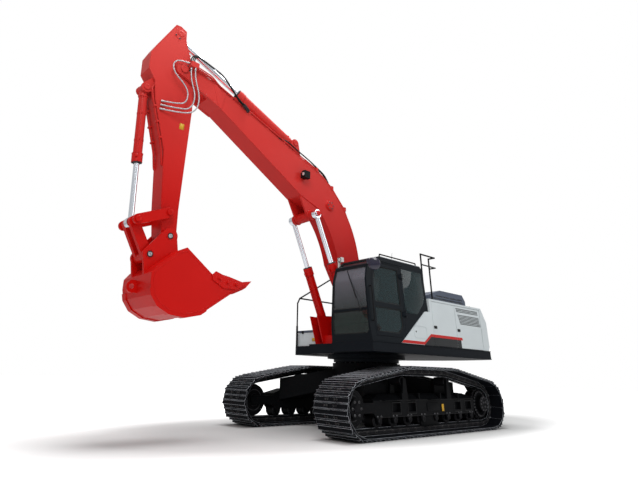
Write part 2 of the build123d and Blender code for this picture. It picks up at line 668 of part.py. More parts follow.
def cab_body(d):
    """The cab's outside moved inwards by d, its sides leaning in towards the roof. Behind the side
    cover, under the slanting edge, its wall lies further in."""
    front = [(1500, CAB_Z0), (CAB_FRONT_X, 1760), (CAB_FRONT_X, 2540), (1465, 2810), (1290, 2955),
             (1080, CAB_ROOF_Z), (-230, CAB_ROOF_Z), (CAB_REAR_X, 2930)]
    cut = [DIAG_FOOT] + front + [(CAB_REAR_X, DIAG_TOP[1]), DIAG_TOP]
    full = [(CAB_REAR_X, CAB_Z0)] + front
    inner = SIDE_Y - PANEL_T - 8
    body = plate(inset(cut, d) if d else cut, CAB_Y0 - 100, SIDE_Y + 100)
    body += plate(inset(full, d) if d else full, CAB_Y0 - 100, inner - d)
    ends = [(CAB_Y0 + d, CAB_Z0 - 10), (SIDE_Y - d, CAB_Z0 - 10),
            (SIDE_Y - CAB_TAPER - d, CAB_ROOF_Z + 10), (CAB_Y0 + CAB_TAPER + d, CAB_ROOF_Z + 10)]
    return body & plate_yz(ends, -500, 1700)


HINGE_OUT = 25.0        # the cab door's hinge line outside the cab's wall
HINGE_X = DOOR_X0 - 10.0
HINGE_ZS = [1990.0, 2700.0]
HINGE_PIN_R = 7.0
LEAN = math.atan2(CAB_TAPER, CAB_ROOF_Z - CAB_Z0)


def hinge_plane(z):
    """On the hinge line at height z: x forward, y out of the wall, z along the line."""
    y = SIDE_Y + HINGE_OUT / math.cos(LEAN) - (z - CAB_Z0) * math.tan(LEAN)
    return Plane(origin=(HINGE_X, y, z), x_dir=(1, 0, 0), z_dir=(0, -math.sin(LEAN), math.cos(LEAN)))


def hinge_prism(z, points, t0, t1):
    """Polygon seen along the hinge line, (x forward, outwards), from t0 to t1 along the line."""
    plane = hinge_plane(z)
    wire = Wire.make_polygon([plane.from_local_coords((x, n, t0)) for x, n in points], close=True)
    return extrude(Face(wire), amount=t1 - t0, dir=plane.z_dir)


def hinge_rod(z, r, t0, t1):
    plane = hinge_plane(z)
    return Solid.make_cylinder(r, t1 - t0, Plane(origin=plane.from_local_coords((0, 0, t0)), z_dir=plane.z_dir))


KNUCKLE = [(-9, 11), (9, 11), (70, -17), (70, -HINGE_OUT - 2), (20, -HINGE_OUT - 2), (14, -12), (-9, -11)]
LUG = [(9, 11), (-9, 11), (-70, -17), (-70, -HINGE_OUT - 2), (-20, -HINGE_OUT - 2), (-14, -12), (9, -11)]

DOOR_OUTLINE = [(DOOR_X0, 1725), (650, 1560), (1370, 1560), (1400, 1780), (1400, 2540), (1340, 2760),
                (1230, 2880), (DOOR_X0, 2880)]
DOOR_WINDOWS = [[(570, 2140), (1335, 2140), (1335, 2530), (1285, 2710), (1200, 2810), (570, 2810)],
                [(570, 1765), (690, 1630), (1310, 1630), (1335, 1790), (1335, 2060), (570, 2060)]]
LEFT_WINDOW = [(-30, 2290), (400, 2290), (400, 2810), (-30, 2810)]
RIGHT_WINDOW = [(120, 1900), (1440, 1900), (1440, 2520), (1380, 2720), (1270, 2840), (120, 2840)]
FRONT_UPPER = [(545, 2020), (1395, 2020), (1352, 2770), (588, 2770)]
FRONT_LOWER = [(530, 1640), (575, 1590), (1365, 1590), (1410, 1640), (1398, 1985), (542, 1985)]
FRONT_TOP = [(620, 2838), (1320, 2838), (1308, 2930), (632, 2930)]
REAR_WINDOW = [(620, 2300), (1320, 2300), (1290, 2830), (650, 2830)]


def cab_openings(d):
    """Prisms through the windows, each shrunk by d: three in front, rear, right and left quarter."""
    return [plate_yz(inset(FRONT_UPPER, d), 1320, 1700), plate_yz(inset(FRONT_LOWER, d), 1320, 1700),
            plate_yz(inset(FRONT_TOP, d), 1250, 1700),
            plate_yz(inset(REAR_WINDOW, d), -450, -200), plate(inset(RIGHT_WINDOW, d), 400, 720),
            plate(inset(LEFT_WINDOW, d), 1250, 1550)]


def make_cab_shell():
    shell = cab_body(0) - cab_body(CAB_WALL)
    for prism in cab_openings(0):
        shell -= prism
    shell -= plate(DOOR_OUTLINE, 1250, 1550)
    for z in HINGE_ZS:
        shell += hinge_prism(z, LUG, 37, 51) + hinge_prism(z, LUG, -51, -37)
        shell += hinge_rod(z, HINGE_PIN_R, -51, 51)
    return shell


def make_cab_glass():
    layer = cab_body(GLASS_IN) - cab_body(GLASS_OUT)
    return Compound(children=[s for prism in cab_openings(SEAT) for s in (layer & prism).solids()])


def make_cab_door():
    door = (cab_body(0) - cab_body(CAB_WALL)) & plate(inset(DOOR_OUTLINE, DOOR_GAP), 1250, 1550)
    for window in DOOR_WINDOWS:
        door -= plate(window, 1250, 1550)
    for z in HINGE_ZS:
        door += hinge_prism(z, KNUCKLE, -35, 35)
        door -= hinge_rod(z, HINGE_PIN_R + FIT, -60, 60)
    return door


def make_door_glass():
    layer = cab_body(GLASS_IN) - cab_body(GLASS_OUT)
    panes = [layer & plate(inset(window, SEAT), 1250, 1550) for window in DOOR_WINDOWS]
    return Compound(children=[s for pane in panes for s in pane.solids()])


def make_seat():
    y = (CAB_Y0 + SIDE_Y) / 2
    z = CAB_Z0 + CAB_WALL + SEAT
    seat = box(480, 820, y - 190, y + 190, z, z + 230)
    seat += box(380, 900, y - 250, y + 250, z + 220, z + 380)
    seat += plate([(380, z + 300), (500, z + 300), (420, z + 960), (320, z + 960)], y - 240, y + 240)
    seat += plate([(345, z + 930), (425, z + 930), (405, z + 1120), (325, z + 1120)], y - 130, y + 130)
    for s in (-1, 1):
        seat += box(430, 930, y + s * 310 - 75, y + s * 310 + 75, z + 60, z + 560)
        seat += box(480, 800, y + s * 260 - 60, y + s * 260 + 60, z + 100, z + 200)
        seat += upright(880, y + s * 310, 26, z + 550, z + 760)
    return seat


# ---------------------------------------------------------------- house
DOOR_SPLIT_X = -1255.0
COVER_X = -395.0
WALL_X = -322.0
TANK_X = -560.0
ROOF_T = 40.0
HOOD_X0 = -780.0
HOOD_Y0 = -870.0
HOOD_Y1 = 1150.0
HOUSE_REAR = CWT_X + 10.0


PIVOT_R = 8.0
PIVOT_IN = 12.0         # pivot line from a door's hinged edge and from its outer face
PIVOT_DEEP = 14.0
DOOR_Z0 = DECK_Z1 + 8.0
DOOR_Z1 = HOUSE_Z - ROOF_T - 8.0
SPLIT_HALF = 6.0
# pivoted service doors: (rear edge, front edge, side of the machine), all hinged at the rear edge
SERVICE_DOORS = [(DOOR_SPLIT_X + SPLIT_HALF, COVER_X - 6.0, 1), (HOUSE_REAR + 6.0, DOOR_SPLIT_X - SPLIT_HALF, 1),
                 (HOUSE_REAR + 6.0, -1746.0, -1)]


def pivot_bores():
    """Holes in the deck and the roof for the doors' pivots."""
    bores = []
    for x0, _, side in SERVICE_DOORS:
        y = side * (SIDE_Y - PIVOT_IN)
        bores.append(upright(x0 + PIVOT_IN, y, PIVOT_R + FIT, DECK_Z1 - PIVOT_DEEP, DECK_Z1 + 1))
        bores.append(upright(x0 + PIVOT_IN, y, PIVOT_R + FIT, DOOR_Z1 + 7, DOOR_Z1 + 8 + PIVOT_DEEP))
    return bores


HATCH = [(-110, 1580), (220, 1580), (262, 1620), (262, 1765), (222, 1803), (-112, 1803), (-152, 1765), (-152, 1620)]


def make_side_cover():
    z = DECK_Z1 + SEAT
    points = [(678, z), (DIAG_TOP[0] - 8, DIAG_TOP[1] - 10), (WALL_X, DIAG_TOP[1] - 10),
              (WALL_X, HOUSE_Z - ROOF_T - SEAT), (COVER_X, HOUSE_Z - ROOF_T - SEAT), (COVER_X, z)]
    cover = plate(points, SIDE_Y - PANEL_T, SIDE_Y)
    groove = plate(HATCH, SIDE_Y - 5, SIDE_Y + 5) - plate(inset(HATCH, 9), SIDE_Y - 10, SIDE_Y + 10)
    return cover - groove


def make_house_frame():
    z = DECK_Z1 + SEAT
    top = HOUSE_Z - ROOF_T
    roof = plan([(WALL_X, 462), (WALL_X, SIDE_Y), (HOUSE_REAR, SIDE_Y), (HOUSE_REAR, -SIDE_Y),
                 (TANK_X, -SIDE_Y), (TANK_X, -470), (-420, -470), (-420, 462)], top, HOUSE_Z)
    roof -= box(HOUSE_REAR + 30, HOOD_X0 - 20, HOOD_Y0 + 25, HOOD_Y1 - 25, top - 10, HOUSE_Z + 10)
    for x0, x1 in ((-375, -330), (DOOR_SPLIT_X - 25, DOOR_SPLIT_X + 25), (HOUSE_REAR, HOUSE_REAR + 50)):
        roof += box(x0, x1, SIDE_Y - PANEL_T - 70, SIDE_Y - PANEL_T - 10, z, top + 5)
    roof += box(HOUSE_REAR, HOUSE_REAR + 50, -SIDE_Y + PANEL_T + 10, -SIDE_Y + PANEL_T + 70, z, top + 5)
    roof += box(-375, -335, 462, SIDE_Y - PANEL_T - 20, z, top + 5)
    roof += box(-460, -420, -470, 502, z, top + 5)
    roof += box(-420, -375, 462, 502, z, top + 5)
    for bore in pivot_bores():
        roof -= bore
    return roof


# louvred grilles of the left rear door: (lowest slot, slots)
GRILLES = [(1955.0, 7), (2200.0, 3)]
SLOT_PITCH = 29.0
SLOT_H = 17.0
GRILLE_TOP = 2290.0


def grille_ends(z):
    """Rear and front end of a slot at height z, inside the left rear door's edges."""
    drop = GRILLE_TOP - z
    return HOUSE_REAR + 95 - 0.25 * drop, DOOR_SPLIT_X - 35 - 0.42 * drop


def make_service_door(x0, x1):
    """Door with a pivot pin at the top and bottom of its rear edge."""
    door = box(x0, x1, SIDE_Y - PANEL_T, SIDE_Y, DOOR_Z0, DOOR_Z1)
    return door + upright(x0 + PIVOT_IN, SIDE_Y - PIVOT_IN, PIVOT_R, DECK_Z1 - 12, DOOR_Z1 + 8 + 12)


def make_grille_door(x0, x1):
    door = make_service_door(x0, x1)
    for lowest, slots in GRILLES:
        for i in range(slots):
            z = lowest + i * SLOT_PITCH
            (a, b), (c, d) = grille_ends(z), grille_ends(z + SLOT_H)
            door -= plate([(a, z), (b, z), (d, z + SLOT_H), (c, z + SLOT_H)], SIDE_Y - PANEL_T - 5, SIDE_Y + 5)
    return door


HOOD_AXIS = (HOUSE_REAR - 3.0, 2556.0)
HOOD_HINGES = [-500.0, 700.0]


HOOD_TOP = 2668.0
# rows of slots in the hood's sides: (height, rear end, front end) from the hinge end and the front
LOUVRES = [(2408.0, 100.0, 60.0), (2466.0, 110.0, 130.0), (2524.0, 125.0, 300.0)]
LOUVRE_H = 30.0
LOUVRE_COLUMNS = 4


def make_hood():
    side = [(HOUSE_REAR + 4, HOUSE_Z + 4), (HOOD_X0, HOUSE_Z + 4), (HOOD_X0 - 5, 2520), (HOOD_X0 - 480, HOOD_TOP),
            (HOUSE_REAR + 110, HOOD_TOP), (HOUSE_REAR + 4, 2540)]
    hood = plate(side, HOOD_Y0, HOOD_Y1)
    inner = inset(side, 25)
    cut = [(x, z - 60 if z < HOUSE_Z + 40 else z) for x, z in inner]
    hood -= plate(cut, HOOD_Y0 + 25, HOOD_Y1 - 25)
    for z, rear, front in LOUVRES:
        x0, x1 = HOUSE_REAR + rear, HOOD_X0 - front
        pitch = (x1 - x0) / LOUVRE_COLUMNS
        for i in range(LOUVRE_COLUMNS):
            hood -= box(x0 + i * pitch + 15, x0 + (i + 1) * pitch - 15, HOOD_Y0 - 5, HOOD_Y1 + 5, z, z + LOUVRE_H)
    x, z = HOOD_AXIS
    for y in HOOD_HINGES:
        arm = plate([(x - 8, z + 6), (x + 6, z + 10), (x + 60, 2620), (x + 60, 2590), (x + 20, 2540), (x, z - 8)],
                    y - 20, y + 20)
        hood += arm + cross(HOOD_AXIS, 15, y - 20, y + 20)
        hood -= cross(HOOD_AXIS, PIVOT_R + FIT, y - 60, y + 60)
    return hood


CWT_FOOT = (60.0, 90.0)         # set-back and height of the lower sloping edge
CWT_BROW = (185.0, 300.0)       # set-back and height of the upper sloping edge


def slanted(points, z, run):
    """Prism on a polygon in plan, leaning along run."""
    return Solid.extrude(Face(Wire.make_polygon([(x, y, z) for x, y in points], close=True)), Vector(*run))


def make_counterweight():
    z = DECK_Z1 + SEAT
    outline = [(CWT_X + 300, -SIDE_Y), (CWT_X + 300, SIDE_Y)] + tail_points(TAIL_R, SIDE_Y, 10)
    foot, brow = CWT_FOOT, CWT_BROW
    body = plan(outline, z + foot[1], HOUSE_Z - brow[1])
    body += slanted([(x + foot[0], y) for x, y in outline], z, (-foot[0], 0, foot[1]))
    body += slanted(outline, HOUSE_Z - brow[1], (brow[0], 0, brow[1]))
    body -= box(CWT_X, CWT_X + 900, -SIDE_Y - 50, SIDE_Y + 50, z - 50, HOUSE_Z + 50)
    hump = [(CWT_X, HOUSE_Z - 5), (CWT_X, 2535), (CWT_X - 60, 2520), (CWT_X - 230, HOUSE_Z - 5)]
    body += plate(hump, HOOD_Y0 + 60, HOOD_Y1 - 250)
    x, z = HOOD_AXIS
    for y in HOOD_HINGES:
        for s in (-1, 1):
            lug = hull_plate((CWT_X - 60, 2510), 30, HOOD_AXIS, 14, y + s * 34 - 7, y + s * 34 + 7)
            body += lug - box(CWT_X, CWT_X + 60, y - 60, y + 60, 2400, z - 14)
        body += cross(HOOD_AXIS, PIVOT_R, y - 41, y + 41)
    return body


def make_engine():
    return box(HOUSE_REAR + 140, HOUSE_REAR + 890, -640, 800, DECK_Z1 + SEAT, 2240)


def make_radiator():
    return box(HOUSE_REAR + 110, HOUSE_REAR + 870, 1000, 1150, DECK_Z1 + SEAT, 2280)


def make_fuel_tank():
    return box(-1190, TANK_X, -SIDE_Y, -520, DECK_Z1 + SEAT, HOUSE_Z - ROOF_T - SEAT)


def make_hydraulic_tank():
    return box(-1740, -1196, -SIDE_Y, -760, DECK_Z1 + SEAT, HOUSE_Z - ROOF_T - SEAT)


def make_step_box():
    body = box(TANK_X + SEAT, 160, -1400, -520, DECK_Z1 + SEAT, 1930)
    body += box(TANK_X + SEAT, 168, -1408, -512, 1930, 1942)
    for y in LID_HINGES:
        for s in (-1, 1):
            body += hull_plate((155, LID_AXIS[1]), 9, LID_AXIS, 9, y + s * 32 - 6, y + s * 32 + 6)
        body += cross(LID_AXIS, 6, y - 38, y + 38)
    return body


def make_toolbox():
    z = DECK_Z1 + SEAT
    body = box(170, 700, -1400, -520, z, 1748)
    return body - box(190, 680, -1380, -540, z + 20, 1800)


LID_AXIS = (180.0, 1810.0)
LID_HINGES = [-1250.0, -670.0]


def make_toolbox_lid():
    lid = box(172, 706, -1408, -512, 1756, 1796)
    for y in LID_HINGES:
        lid += cross(LID_AXIS, 15, y - 20, y + 20) - cross(LID_AXIS, 6 + FIT, y - 60, y + 60)
    return lid


# ---------------------------------------------------------------- rails, mirrors, lamps
RAIL_R = 17.0


def tube(points, r):
    """Straight bars from point to point, each run on by a little so that they meet at the bends."""
    body = None
    for a, b in zip(points, points[1:]):
        a, b = Vector(*a), Vector(*b)
        run = (b - a).normalized() * (r * 0.6)
        start = a if a == Vector(*points[0]) else a - run
        end = b if b == Vector(*points[-1]) else b + run
        piece = flat_bar(start, end, r)
        body = piece if body is None else body + piece
    return body


RAIL_Y = -1385.0
RAIL_X1 = -640.0
RAIL_X2 = -1700.0
RAIL_TOP = 3240.0


def make_right_handrail():
    """Step post with its loop, and the guard rail over the tanks."""
    y = RAIL_Y
    x = DECK_NOSE_X - 35
    top = HOUSE_Z + SEAT
    mid = (RAIL_TOP + HOUSE_Z) / 2 + 30
    rail = flat_bar((x, y, DECK_Z1 + SEAT), (x, y, 1900), 24)
    rail += tube([(x, y, 1850), (x, y, 2400), (x - 65, y, 2515), (RAIL_X1, y, 2515)], RAIL_R)
    rail += tube([(x - 65, y, 2515), (RAIL_X1, y, RAIL_TOP), (RAIL_X2, y, RAIL_TOP), (RAIL_X2, y, top)], RAIL_R)
    rail += flat_bar((RAIL_X1, y, top), (RAIL_X1, y, RAIL_TOP), RAIL_R)
    rail += flat_bar((RAIL_X1, y, mid), (RAIL_X2, y, mid), RAIL_R - 3)
    half_x = (RAIL_X1 + RAIL_X2) / 2
    return rail + flat_bar((half_x, y, top), (half_x, y, RAIL_TOP), RAIL_R - 2)


def make_left_handrail():
    """Guard rail behind the cab, on two posts."""
    top = HOUSE_Z + SEAT
    rail = tube([(-870, 1190, top), (-870, 1190, 3300), (-870, 1340, 3300), (-352, 1340, 3300),
                 (-352, 1340, top)], RAIL_R)
    return rail + tube([(-870, 1190, 3080), (-870, 1340, 3080), (-352, 1340, 3080)], RAIL_R - 3)


def make_roof_rail():
    z = CAB_ROOF_Z - 30
    rail = tube([(1040, 1310, z), (1000, 1310, 3070), (-160, 1310, 3070), (-200, 1310, z)], 13)
    return rail - cab_body(-SEAT)


MIRROR_R = 115.0
MIRROR_Y = GAUGE_Y + SHOE_W / 2 - MIRROR_R - 15


def make_cab_mirrors():
    y = MIRROR_Y
    body = tube([(1425, 1340, 2775), (1455, y - 110, 2815), (1455, y + 5, 2790)], 12) - cab_body(-SEAT)
    body += Solid.make_cylinder(MIRROR_R, 60, Plane(origin=(1450, y, 2780), z_dir=(0.8, 0.55, -0.1)))
    body += Solid.make_cylinder(62, 60, Plane(origin=(1450, y - 110, 2840), z_dir=(0.8, 0.55, -0.1)))
    return body


def make_work_lamps():
    lamp = box(1370, 1440, 590, 700, 2945, 3035) + box(1380, 1430, 590, 612, 2830, 2950)
    return lamp - cab_body(-SEAT)


def make_boom_lamp():
    lamp = box(2010, 2140, BOOM_HALF + SEAT, BOOM_HALF + 60, 4680, 4800)
    return lamp + box(2000, 2160, BOOM_HALF + 60, BOOM_HALF + 150, 4660, 4820)


# ---------------------------------------------------------------- hoses at the boom's end
HOSE_R = 13.0
# corners of each hose, from the block on the boom to beside the arm
HOSES = [[(5060.0 + SEAT, 285, 6140), (5340, 285, 6140), (5400, 285, 5850), (5010, 285, 5600),
          (5010, 285, 5290), (5200, 260, 5215), (5440, 198, 5195)],
         [(5030, 315, 6060 - SEAT), (5030, 315, 5850), (4860, 315, 5480), (4930, 315, 5180),
          (5160, 280, 5120), (5440, 198, 5115)],
         [(4960, 345, 6060 - SEAT), (4960, 345, 5880), (4780, 345, 5450), (4850, 345, 5130),
          (5120, 290, 5040), (5440, 198, 5035)]]


def hose_radii(points):
    """At each corner 0.45 of the shorter run over the tangent of half the turn."""
    radii = []
    for a, b, c in zip(points, points[1:], points[2:]):
        u, v = Vector(*b) - Vector(*a), Vector(*c) - Vector(*b)
        turn = math.acos(u.dot(v) / (u.length * v.length))
        radii.append(0.45 * min(u.length, v.length) / math.tan(turn / 2))
    return radii


def make_hoses():
    solids = []
    for points in HOSES:
        radii = hose_radii(points)
        path = FilletPolyline(*points, radius=radii)
        start = Vector(*points[0])
        section = Plane(origin=start, z_dir=Vector(*points[1]) - start) * Circle(HOSE_R)
        solids.append(sweep(section, path=path))
        print("hose radii", [round(r) for r in radii], "length", round(path.length))
    return Compound(children=solids)


# ---------------------------------------------------------------- export
if __name__ == "__main__":
    left_track = make_track()
    export_step(place(left_track), "parts/track_left.step")
    export_step(place(mirrored(left_track)), "parts/track_right.step")
    frame_left = make_track_frame()
    export_step(place(frame_left), "parts/track_frame_left.step")
    export_step(place(mirrored(frame_left)), "parts/track_frame_right.step")
    export_step(place(make_bottom_rollers()), "parts/bottom_rollers.step")
    export_step(place(make_carrier_rollers()), "parts/carrier_rollers.step")
    export_step(place(both(make_idler())), "parts/idlers.step")
    export_step(place(both(make_sprocket())), "parts/sprockets.step")
    export_step(place(both(make_final_drive())), "parts/final_drives.step")
    export_step(place(make_carbody()), "parts/carbody.step")
    export_step(place(make_ring_fixed()), "parts/slew_ring_fixed.step")
    export_step(place(make_ring_moving()), "parts/slew_ring_moving.step")
    export_step(place(make_deck()), "parts/deck.step")
    export_step(place(make_boom_bracket()), "parts/boom_bracket.step")
    export_step(place(make_boom()), "parts/boom.step")
    export_step(place(make_arm()), "parts/arm.step")
    export_step(place(both(make_boom_barrel())), "parts/boom_cylinder_barrels.step")
    export_step(place(both(make_boom_rod())), "parts/boom_cylinder_rods.step")
    export_step(place(make_arm_barrel()), "parts/arm_cylinder_barrel.step")
    export_step(place(make_arm_rod()), "parts/arm_cylinder_rod.step")
    export_step(place(make_bucket_barrel()), "parts/bucket_cylinder_barrel.step")
    export_step(place(make_bucket_rod()), "parts/bucket_cylinder_rod.step")
    export_step(place(both(make_rocker())), "parts/bucket_rockers.step")
    export_step(place(make_link()), "parts/bucket_link.step")
    export_step(place(make_bucket()), "parts/bucket.step")
    export_step(place(make_teeth()), "parts/bucket_teeth.step")
    export_step(place(make_cab_shell()), "parts/cab_shell.step")
    export_step(place(make_cab_glass()), "parts/cab_glass.step")
    export_step(place(make_cab_door()), "parts/cab_door.step")
    export_step(place(make_door_glass()), "parts/cab_door_glass.step")
    export_step(place(make_seat()), "parts/operator_seat.step")
    export_step(place(make_side_cover()), "parts/side_cover.step")
    export_step(place(make_house_frame()), "parts/house_frame.step")
    export_step(place(make_service_door(*SERVICE_DOORS[0][:2])), "parts/left_front_door.step")
    export_step(place(make_grille_door(*SERVICE_DOORS[1][:2])), "parts/left_rear_door.step")
    export_step(place(mirrored(make_service_door(*SERVICE_DOORS[2][:2]))), "parts/right_door.step")
    export_step(place(make_hood()), "parts/engine_hood.step")
    export_step(place(make_counterweight()), "parts/counterweight.step")
    export_step(place(make_engine()), "parts/engine.step")
    export_step(place(make_radiator()), "parts/radiator.step")
    export_step(place(make_fuel_tank()), "parts/fuel_tank.step")
    export_step(place(make_hydraulic_tank()), "parts/hydraulic_tank.step")
    export_step(place(make_step_box()), "parts/step_box.step")
    export_step(place(make_toolbox()), "parts/toolbox.step")
    export_step(place(make_toolbox_lid()), "parts/toolbox_lid.step")
    export_step(place(make_right_handrail()), "parts/right_handrail.step")
    export_step(place(make_left_handrail()), "parts/left_handrail.step")
    export_step(place(make_roof_rail()), "parts/roof_rail.step")
    export_step(place(make_cab_mirrors()), "parts/cab_mirrors.step")
    export_step(place(make_work_lamps()), "parts/work_lamps.step")
    export_step(place(make_boom_lamp()), "parts/boom_lamp.step")
    export_step(place(make_hoses()), "parts/joint_hoses.step")
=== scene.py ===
import bpy
import numpy as np
from mathutils import Matrix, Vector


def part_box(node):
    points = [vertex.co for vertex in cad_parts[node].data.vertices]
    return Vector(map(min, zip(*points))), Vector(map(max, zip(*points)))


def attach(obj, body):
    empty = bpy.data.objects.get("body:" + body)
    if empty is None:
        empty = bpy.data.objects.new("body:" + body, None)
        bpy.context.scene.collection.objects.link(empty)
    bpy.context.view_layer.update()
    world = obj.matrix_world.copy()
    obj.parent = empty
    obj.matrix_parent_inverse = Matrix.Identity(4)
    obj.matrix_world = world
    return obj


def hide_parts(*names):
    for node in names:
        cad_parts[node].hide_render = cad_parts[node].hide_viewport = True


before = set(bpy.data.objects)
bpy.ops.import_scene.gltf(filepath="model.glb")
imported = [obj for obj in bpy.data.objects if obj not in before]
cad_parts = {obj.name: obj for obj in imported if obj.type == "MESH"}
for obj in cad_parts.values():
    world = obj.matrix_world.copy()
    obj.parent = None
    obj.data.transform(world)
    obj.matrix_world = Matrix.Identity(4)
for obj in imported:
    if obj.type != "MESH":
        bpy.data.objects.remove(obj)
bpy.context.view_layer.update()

# ------------------------------------------------------------ viewpoint
# The viewer stands low, ahead of the machine on the side of its cab, and looks up at it. The camera's axes
# are worked out from its heading, its rise and a slight bank.
camera_data = bpy.data.cameras.new("camera")
camera_data.sensor_width = 36.0
camera_data.lens = 26.23
camera_data.shift_x, camera_data.shift_y = 0.033, -0.143
camera_data.clip_end = 300.0
camera = bpy.data.objects.new("camera", camera_data)
bpy.context.collection.objects.link(camera)
standpoint = (6.790, 7.093, 0.906)
heading, rise, bank = -2.288, 0.452, 0.025
ahead = np.array([np.cos(heading) * np.cos(rise), np.sin(heading) * np.cos(rise), np.sin(rise)])
level = np.cross(ahead, [0, 0, 1])
level /= np.linalg.norm(level)
above = np.cross(level, ahead)
stance = np.eye(4)
stance[:3, 0] = np.cos(bank) * level + np.sin(bank) * above
stance[:3, 1] = -np.sin(bank) * level + np.cos(bank) * above
stance[:3, 2] = -ahead
stance[:3, 3] = standpoint
camera.matrix_world = Matrix(stance)
bpy.context.scene.camera = camera
bpy.context.scene.view_settings.view_transform = "Standard"


# ------------------------------------------------------------ floor
# A pale seamless floor. A painted shadow makes it greyer in an oval under and behind the machine, and it
# whitens outwards until it meets the white surround.
class Socket:
    """An output of a node tree. Sums, products and comparisons of it become Math nodes."""

    def __init__(self, nodes, out):
        self.nodes, self.out = nodes, out

    def maths(self, operation, *others):
        return self.nodes.node("ShaderNodeMath", {"operation": operation}, dict(enumerate((self, *others))))

    def __add__(self, other):
        return self.maths("ADD", other)

    def __sub__(self, other):
        return self.maths("SUBTRACT", other)

    def __rsub__(self, other):
        return self.nodes.node("ShaderNodeMath", {"operation": "SUBTRACT"}, {0: other, 1: self})

    def __mul__(self, other):
        return self.maths("MULTIPLY", other)

    def __gt__(self, other):
        return self.maths("GREATER_THAN", other)

    def __lt__(self, other):
        return self.maths("LESS_THAN", other)

    def __abs__(self):
        return self.maths("ABSOLUTE")

    __radd__ = __add__
    __rmul__ = __mul__

    def between(self, low, high):
        """0 below low, 1 above high, straight in between."""
        return self.nodes.node("ShaderNodeMapRange", {"clamp": True},
                               {"Value": self, "From Min": low, "From Max": high})


class Nodes:
    """A node tree being built: node() adds any node, and feed() fills a socket with a value or a link."""

    def __init__(self, tree):
        self.tree = tree

    def node(self, kind, settings={}, values={}, out=0):
        made = self.tree.nodes.new(kind)
        for key, value in settings.items():
            setattr(made, key, value)
        for key, value in values.items():
            self.feed(made.inputs[key], value)
        return Socket(self, made.outputs[out])

    def feed(self, entry, value):
        if isinstance(value, Socket):
            self.tree.links.new(value.out, entry)
        else:
            entry.default_value = value


class Finish(Nodes):
    """A material whose shader is fed by set(). Its slot argument is stored but not used."""

    def __init__(self, name, slot):
        self.slot = slot
        self.material = bpy.data.materials.new(name)
        self.material.use_nodes = True
        super().__init__(self.material.node_tree)
        self.shader = self.tree.nodes["Principled BSDF"]

    def set(self, **values):
        for key, value in values.items():
            self.feed(self.shader.inputs[key.replace("_", " ")], value)
        return self

    def place(self):
        """The point's x, y and z on the object, in metres."""
        where = self.node("ShaderNodeTexCoord", out="Object")
        return [self.node("ShaderNodeSeparateXYZ", {}, {0: where}, i) for i in range(3)]

    def mix(self, amount, one, other):
        """One colour where the amount is 0, the other where it is 1. On this node the colours are sockets 6
        and 7, and the mixed colour is output 2."""
        return self.node("ShaderNodeMix", {"data_type": "RGBA"}, {0: amount, 6: one, 7: other}, 2)


floor_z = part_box("track_left")[0][2]
floor_half = 60.0
corners = np.array([[-1, -1], [1, -1], [1, 1], [-1, 1]]) * floor_half
floor_mesh = bpy.data.meshes.new("floor")
floor_mesh.from_pydata([(x, y, floor_z - 0.001) for x, y in corners], [], [(0, 1, 2, 3)])
floor = bpy.data.objects.new("floor", floor_mesh)
bpy.context.collection.objects.link(floor)
pale = Finish("pale_floor", None)
seen = pale.node("ShaderNodeLightPath", out="Is Camera Ray")
x, y = pale.place()[:2]
# painted shadow: the floor's base colour turns grey in an oval under and behind the machine
painted_shadow_oval = ((x + 1.6) * (x + 1.6) * 0.03 + (y + 0.2) * (y + 0.2) * 0.16).maths("SQRT")
shade, paper = (0.30, 0.30, 0.30, 1), (0.86, 0.86, 0.86, 1)
pale.set(Base_Color=pale.mix(painted_shadow_oval.between(0.15, 1.15), shade, paper), Roughness=0.9, Specular_IOR_Level=0.1)
glow_share = painted_shadow_oval.between(0.95, 1.8) * seen
glow = pale.node("ShaderNodeEmission", {}, {"Color": (1, 1, 1, 1), "Strength": glow_share})
lit = pale.node("ShaderNodeAddShader", {}, {0: Socket(pale, pale.shader.outputs[0]), 1: glow})
pale.feed(pale.tree.nodes["Material Output"].inputs[0], lit)
floor_mesh.materials.append(pale.material)

# ------------------------------------------------------------ surround and lamps
# A white surround, seen at full strength behind the machine and through its glass, and dimmer where it
# lights the machine or is mirrored in it. Three large round lamps with soft edges give the light its
# direction.
world = bpy.data.worlds.new("surround")
bpy.context.scene.world = world
world.use_nodes = True
sky = Nodes(world.node_tree)
# its strength as a light, and how far its mirror image goes from that to full strength
light_strength, mirrored_share = 0.3, 0.3
through = sky.node("ShaderNodeLightPath", out="Is Transmission Ray")
mirrored = sky.node("ShaderNodeLightPath", out="Is Glossy Ray")
straight = sky.node("ShaderNodeLightPath", out="Is Camera Ray")
clear = straight.maths("MAXIMUM", mirrored * mirrored_share + through)
strength = sky.node("ShaderNodeMapRange", {}, {"Value": clear, "To Min": light_strength, "To Max": 1.0})
backdrop = sky.tree.nodes["Background"]
sky.feed(backdrop.inputs["Strength"], strength)
sky.feed(backdrop.inputs["Color"], (1, 1, 1, 1))

for name, place, size, watts in (("key_lamp", (9.0, 9.0, 12.0), 7.0, 820.0),
                                 ("side_lamp", (-8.0, 12.0, 8.0), 8.0, 300.0),
                                 ("top_lamp", (0.0, 0.0, 16.0), 9.0, 1800.0)):
    lamp_data = bpy.data.lights.new(name, "AREA")
    lamp_data.shape, lamp_data.size, lamp_data.energy = "DISK", size, watts
    lamp = bpy.data.objects.new(name, lamp_data)
    bpy.context.collection.objects.link(lamp)
    aim = np.array([0.0, 0.0, 2.0]) - place
    aim /= np.linalg.norm(aim)
    side = np.cross(aim, [0, 1, 0] if abs(aim[2]) > 0.99 else [0, 0, 1])
    side /= np.linalg.norm(side)
    stance = np.eye(4)
    stance[:3, 0], stance[:3, 1], stance[:3, 2], stance[:3, 3] = side, np.cross(side, aim), -aim, place
    lamp.matrix_world = Matrix(stance)


